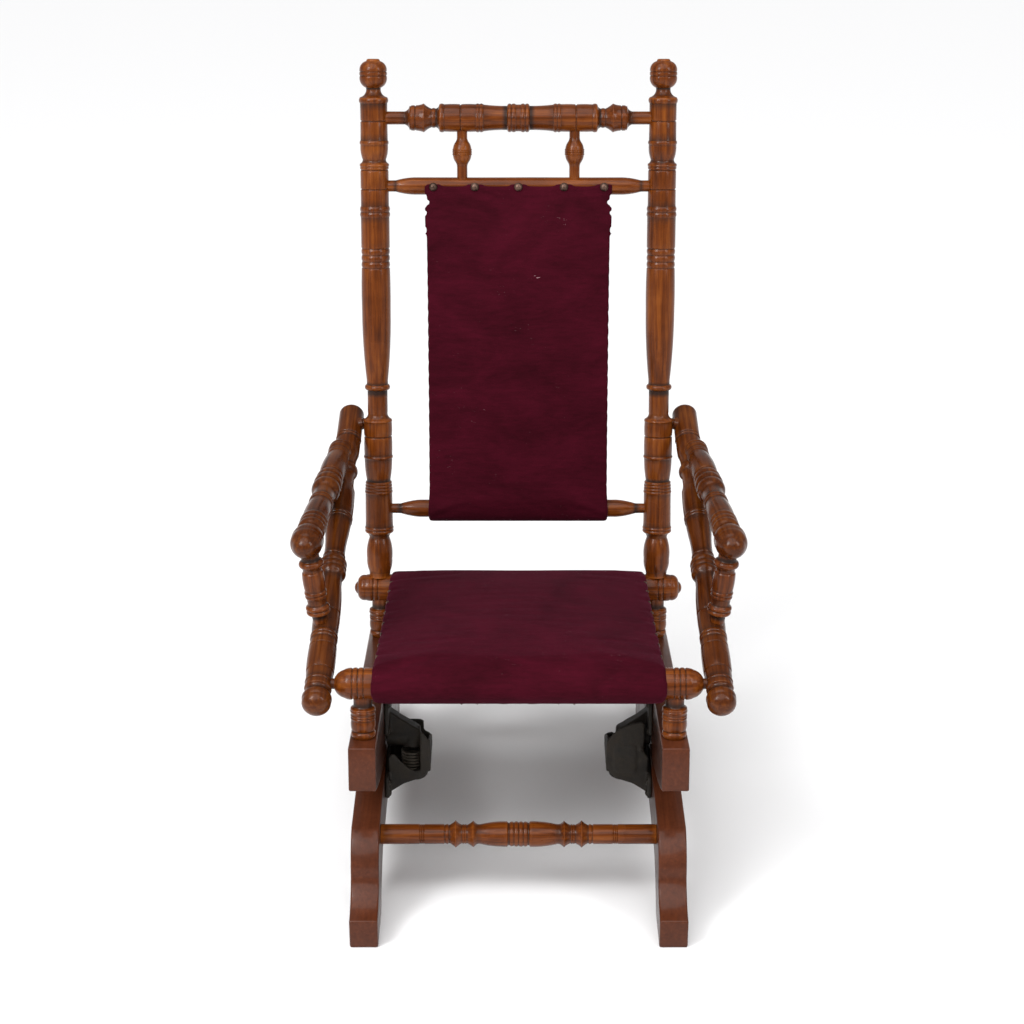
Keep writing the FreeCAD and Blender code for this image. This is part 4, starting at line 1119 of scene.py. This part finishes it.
def seat_section(share):
    """The seat's side view at a share of its half width: over both rails, soft between."""
    edge = max(0.0, (abs(share) - 0.86) / 0.14)
    crown = 3.2 * (1 - share * share) - 3.0 * edge ** 2
    top = arc_points(FRONT_RAIL, LIP_R - 1.5 * edge ** 2, -98, -262, 22)
    pieces = 16
    for i in range(1, pieces):
        t = i / pieces
        y = FRONT_RAIL[0] + 12 + (REAR_RAIL[0] - FRONT_RAIL[0] - 24) * t
        z = 198.8 - 0.6 * t + crown * math.sin(math.pi * t) ** 0.6
        top.append((y, z))
    top += arc_points(REAR_RAIL, TAIL_R - 1.5 * edge ** 2, 92, 10, 10)
    under = [(REAR_RAIL[0] + 12, 174), (REAR_RAIL[0] - 8, 180), (REAR_RAIL[0] - 20, 189)]
    under += [(REAR_RAIL[0] - 60, 189.4), (0, 189.6), (FRONT_RAIL[0] + 60, 189.4)]
    under += [(FRONT_RAIL[0] + 20, 189), (FRONT_RAIL[0] + 6, 178), (FRONT_RAIL[0] - 4, 160)]
    return top + under


def seat_half_width(y):
    t = (y - FRONT_RAIL[0]) / (REAR_RAIL[0] - FRONT_RAIL[0])
    return SEAT_FRONT_HALF + (SEAT_REAR_HALF - SEAT_FRONT_HALF) * max(-0.1, min(1.05, t))


def tack_places():
    """Each tack's number along its side, with its place on the chair."""
    for side, _ in SIDES:
        for number, y in enumerate(SEAT_TACKS):
            yield number, UPPER @ Vector((side * (seat_half_width(y) - 1), y, 195))


def seat_cover():
    count = 40
    sections = []
    for i in range(count + 1):
        share = -1 + 2 * i / count
        row = [Vector((share * (seat_half_width(y) + 1.5), y, z)) for y, z in seat_section(share)]
        sections.append(row)
    bm = loft(sections)
    bm.transform(UPPER)
    made = piece("seat_velvet", bm, VELVET, "upper_frame", ["seat_cover"], 180)
    to_upper = UPPER.inverted()

    def pinned(point):
        p = to_upper @ point
        if p.z < 186 and -188 < p.y < 200:
            return 1.0
        if p.z < 150:
            return 1.0
        at_side = seat_half_width(p.y) - abs(p.x) < 4.5
        if at_side and any(abs(p.y - y) < 5.0 for y in SEAT_TACKS):
            return 1.0
        if at_side and p.z < 192:
            return 1.0
        if p.y > REAR_RAIL[0] + 18 and p.z < 184:
            return 1.0
        return 0.0

    inflate(made, pinned, 4.0, 6.0)
    pucker(made, [place for _, place in tack_places()])
    smooth_soft(made)
    return made


def pucker(made, places, reach=24.0):
    """Draws the cover in at each tack, with small gathers running out from it."""
    with reshaped(made) as cover:
        cover.normal_update()
        for number, place in enumerate(places):
            for vert in cover.verts:
                away = vert.co / MM - place
                if away.length > 2 * reach:
                    continue
                turn = math.atan2(away.z, away.y) * 5 + number
                ring = math.exp(-((away.length / reach - 0.5) / 0.35) ** 2)
                crease = 0.55 * math.cos(turn) * ring
                dimple = 1.5 * math.exp(-(away.length / (0.34 * reach)) ** 2)
                vert.co += vert.normal * (crease - dimple) * MM


def smooth_soft(made, rounds=2):
    """Relaxes a remeshed skin and gives it one subdivision."""
    with reshaped(made) as skin:
        relax(skin, rounds)
    made.data.shade_smooth()
    finer = made.modifiers.new("finer", "SUBSURF")
    finer.levels = 1
    finer.render_levels = 1


SEAT = seat_cover()

# ---- back ----
BACK_FACE_Y = -LOWER_RAIL_R - 8.0
SLING_TOP_EDGE = 5.2  # above the upper rail's axis, at a nail


def top_edge(x):
    """The wavy upper edge: it sags between the nails that hold it."""
    nearest = sorted(abs(x - n) for n in NAIL_XS)
    gap = min(nearest[0], 30.0)
    return SLING_TOP_EDGE - 3.4 * math.sin(0.5 * math.pi * gap / 30.0) ** 1.3


def back_half_width(up):
    rows = [
        (LOWER_RAIL_AT - 24, 132.5), (LOWER_RAIL_AT + 10, 133.5), (LOWER_RAIL_AT + 80, 130.5),
        (LOWER_RAIL_AT + 280, 132.0), (UPPER_RAIL_AT - 10, 135.0), (UPPER_RAIL_AT + 24, 135.0),
    ]
    for (z0, w0), (z1, w1) in zip(rows, rows[1:]):
        if up <= z1:
            t = max(0.0, (up - z0) / (z1 - z0))
            return w0 + (w1 - w0) * t * t * (3 - 2 * t)
    return rows[-1][1]


def back_section(share):
    """The back's side view: nailed to the upper rail's front, wrapped under the lower."""
    edge = max(0.0, (abs(share) - 0.9) / 0.1) ** 2
    x = share * 134
    tip = top_edge(x)
    skin = UPPER_RAIL_R + 3.8
    points = arc_points((0, LOWER_RAIL_AT), LOWER_RAIL_R + 6.2, 8, -172, 20)
    pieces = 26
    for i in range(pieces + 1):
        t = i / pieces
        up = LOWER_RAIL_AT + 6 + (UPPER_RAIL_AT - 14 - LOWER_RAIL_AT - 6) * t
        puff = 1.6 * math.sin(math.pi * t) ** 0.7 * (1 - share * share) - 2.0 * edge
        y = BACK_FACE_Y + 1.8 + (3.6 * max(0.0, (t - 0.9) / 0.1) ** 2) - puff
        points.append((y, up))
    angle = math.degrees(math.asin(tip / skin))
    points += arc_points((0, UPPER_RAIL_AT), skin, 198, 180 - angle, 6)
    points += [(-10.6, UPPER_RAIL_AT + tip - 0.2), (-9.2, UPPER_RAIL_AT - 4)]
    points += [(-13.2, UPPER_RAIL_AT - 20), (-13.4, 360), (-13.2, LOWER_RAIL_AT + 24)]
    points += [(-9.5, LOWER_RAIL_AT + 6), (6.0, LOWER_RAIL_AT + 4)]
    return points


def back_cover():
    count = 56
    sections = []
    for i in range(count + 1):
        share = -1 + 2 * i / count
        row = [Vector((share * (back_half_width(z) - 1.0), y, z)) for y, z in back_section(share)]
        sections.append(row)
    bm = loft(sections)
    bm.transform(BACK)
    made = piece("back_velvet", bm, VELVET, "upper_frame", ["back_cover"], 180)
    to_back = BACK.inverted()

    def pinned(point):
        p = to_back @ point
        if p.y > -11.5:
            return 1.0
        if abs(p.z - UPPER_RAIL_AT) < 7 and any(abs(p.x - n) < 7 for n in NAIL_XS):
            return 1.0
        if back_half_width(p.z) - abs(p.x) < 3.5 and p.y > -17:
            return 1.0
        return 0.0

    inflate(made, pinned, 2.5, 4.0, voxel=3.6)
    smooth_soft(made, 1)


back_cover()


# ---- canvas under the seat and behind the back ----


def cloth_panel(name, place, xs, ys, sag, node):
    """A stretched panel of canvas over a rectangle, hanging a little in its middle."""
    bm = bmesh.new()
    bmesh.ops.create_grid(bm, x_segments=36, y_segments=44, size=0.5)
    wide = xs[1] - xs[0]
    long = ys[1] - ys[0]
    for vert in bm.verts:
        u = vert.co.x + 0.5
        v = vert.co.y + 0.5
        dip = sag * math.sin(math.pi * u) * math.sin(math.pi * v)
        ripple = 0.5 * noise.noise(Vector((u * 5, v * 4, 3.0))) * math.sin(math.pi * v)
        vert.co = Vector((xs[0] + wide * u, ys[0] + long * v, -dip + ripple))
    bmesh.ops.solidify(bm, geom=bm.faces[:], thickness=1.1)
    close_up(bm)
    bm.transform(place)
    made = piece(name, bm, CANVAS, "upper_frame", [node], 50)


seat_canvas_place = UPPER @ Matrix.Translation((0, 0, SEAT_UNDER - 1.0))
cloth_panel("seat_canvas_cloth", seat_canvas_place, (-150, 150), (-174, 190), 1.6, "seat_canvas")
lining_place = BACK @ Matrix.Translation((0, -11.6, 0)) @ Matrix.Rotation(math.pi / 2, 4, "X")
cloth_panel("back_lining_cloth", lining_place, (-126, 126),
            (LOWER_RAIL_AT + 18, UPPER_RAIL_AT - 18), 0.3, "back_lining")


# ---- nails and tacks ----


def domed_head(radius, height, seed):
    """One domed nail head, spun and a little hammered, with its rim turned under."""
    rim = [Vector((0, -0.4)), Vector((radius - 0.5, -0.4)), Vector((radius, 0.0))]
    one = spun(rim + swell(rim[-1], Vector((0.0, height)), dome_bulge(radius, height)), 32)
    for vert in one.verts:
        vert.co.z += 0.16 * noise.noise(Vector((vert.co.x * 0.6, vert.co.y * 0.6, seed * 7.0)))
    return one


for number, x in enumerate(NAIL_XS, 1):
    one = domed_head(6.0, 3.6, number)
    seat = BACK @ Vector((x, -UPPER_RAIL_R - 4.0, UPPER_RAIL_AT))
    ahead = BACK @ Vector((x, -UPPER_RAIL_R - 5.0, UPPER_RAIL_AT + 0.08))
    one.transform(aim(seat, ahead))
    node = "back_nail_%d" % number
    piece(node + "_head", one, NAIL_BRASS, "upper_frame", [node], 60)


tack_bm = bmesh.new()
for number, place in tack_places():
    _, spot, normal, _ = SEAT.closest_point_on_mesh(place * MM)
    one = domed_head(2.7, 1.5, number)
    spot = spot / MM
    one.transform(aim(spot, spot + normal))
    gather(tack_bm, one)
piece("seat_edge_tacks", tack_bm, NAIL_BRASS, "upper_frame", [], 60)


# ---- CAD pieces that stay, with their finishes ----

KEPT = {}
for side, word in SIDES:
    KEPT[word + "_upper_dowel"] = DOWEL_WOOD
    KEPT[word + "_lower_dowel"] = DOWEL_WOOD
    KEPT[word + "_wear_pad"] = LEATHER
for node, material in KEPT.items():
    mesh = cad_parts[node].data
    mesh.materials.clear()
    mesh.materials.append(material)


# ============================ floor, light and camera ============================

floor_mesh = bmesh.new()
bmesh.ops.create_grid(floor_mesh, x_segments=1, y_segments=1, size=40.0)
mesh = bpy.data.meshes.new("floor")
floor_mesh.to_mesh(mesh)
floor_mesh.free()
floor = show("floor", mesh)
paper = Finish("floor_paper")
mesh.materials.append(paper.finish(base_color=(0.86, 0.86, 0.865, 1.0), roughness=0.75,
                                   specular_ior_level=0.2))


def soft_light(name, where, target, size, watts):
    lamp = bpy.data.lights.new(name, "AREA")
    lamp.shape = "RECTANGLE"
    lamp.size = size[0]
    lamp.size_y = size[1]
    lamp.energy = watts
    made = show(name, lamp)
    made.location = where
    made.rotation_euler = (Vector(target) - Vector(where)).to_track_quat("-Z", "Y").to_euler()


soft_light("key", (-1.9, -1.7, 2.5), (0, 0, 0.5), (0.9, 1.6), 62)
soft_light("fill", (2.1, -1.5, 2.2), (0, 0, 0.5), (0.8, 1.6), 30)

overhead = bpy.data.lights.new("overhead", "SUN")
overhead.energy = 2.5
overhead.angle = math.radians(70)
show("overhead", overhead).rotation_euler = (math.radians(24), math.radians(-10), 0)

world = bpy.data.worlds.new("studio")
bpy.context.scene.world = world
world.use_nodes = True
backdrop = world.node_tree.nodes["Background"].inputs
backdrop["Color"].default_value = (1.0, 1.0, 1.0, 1.0)
backdrop["Strength"].default_value = 0.4
bpy.context.scene.view_settings.view_transform = "Standard"

CAMERA_DIP = 24.5  # degrees below level
lens = bpy.data.cameras.new("camera")
lens.sensor_width = 36.0
lens.lens = 79.1
camera = show("camera", lens)
camera.location = (-0.009, -2.8264, 1.7702)
camera.rotation_euler = (math.radians(90 - CAMERA_DIP), 0, 0)
bpy.context.scene.camera = camera
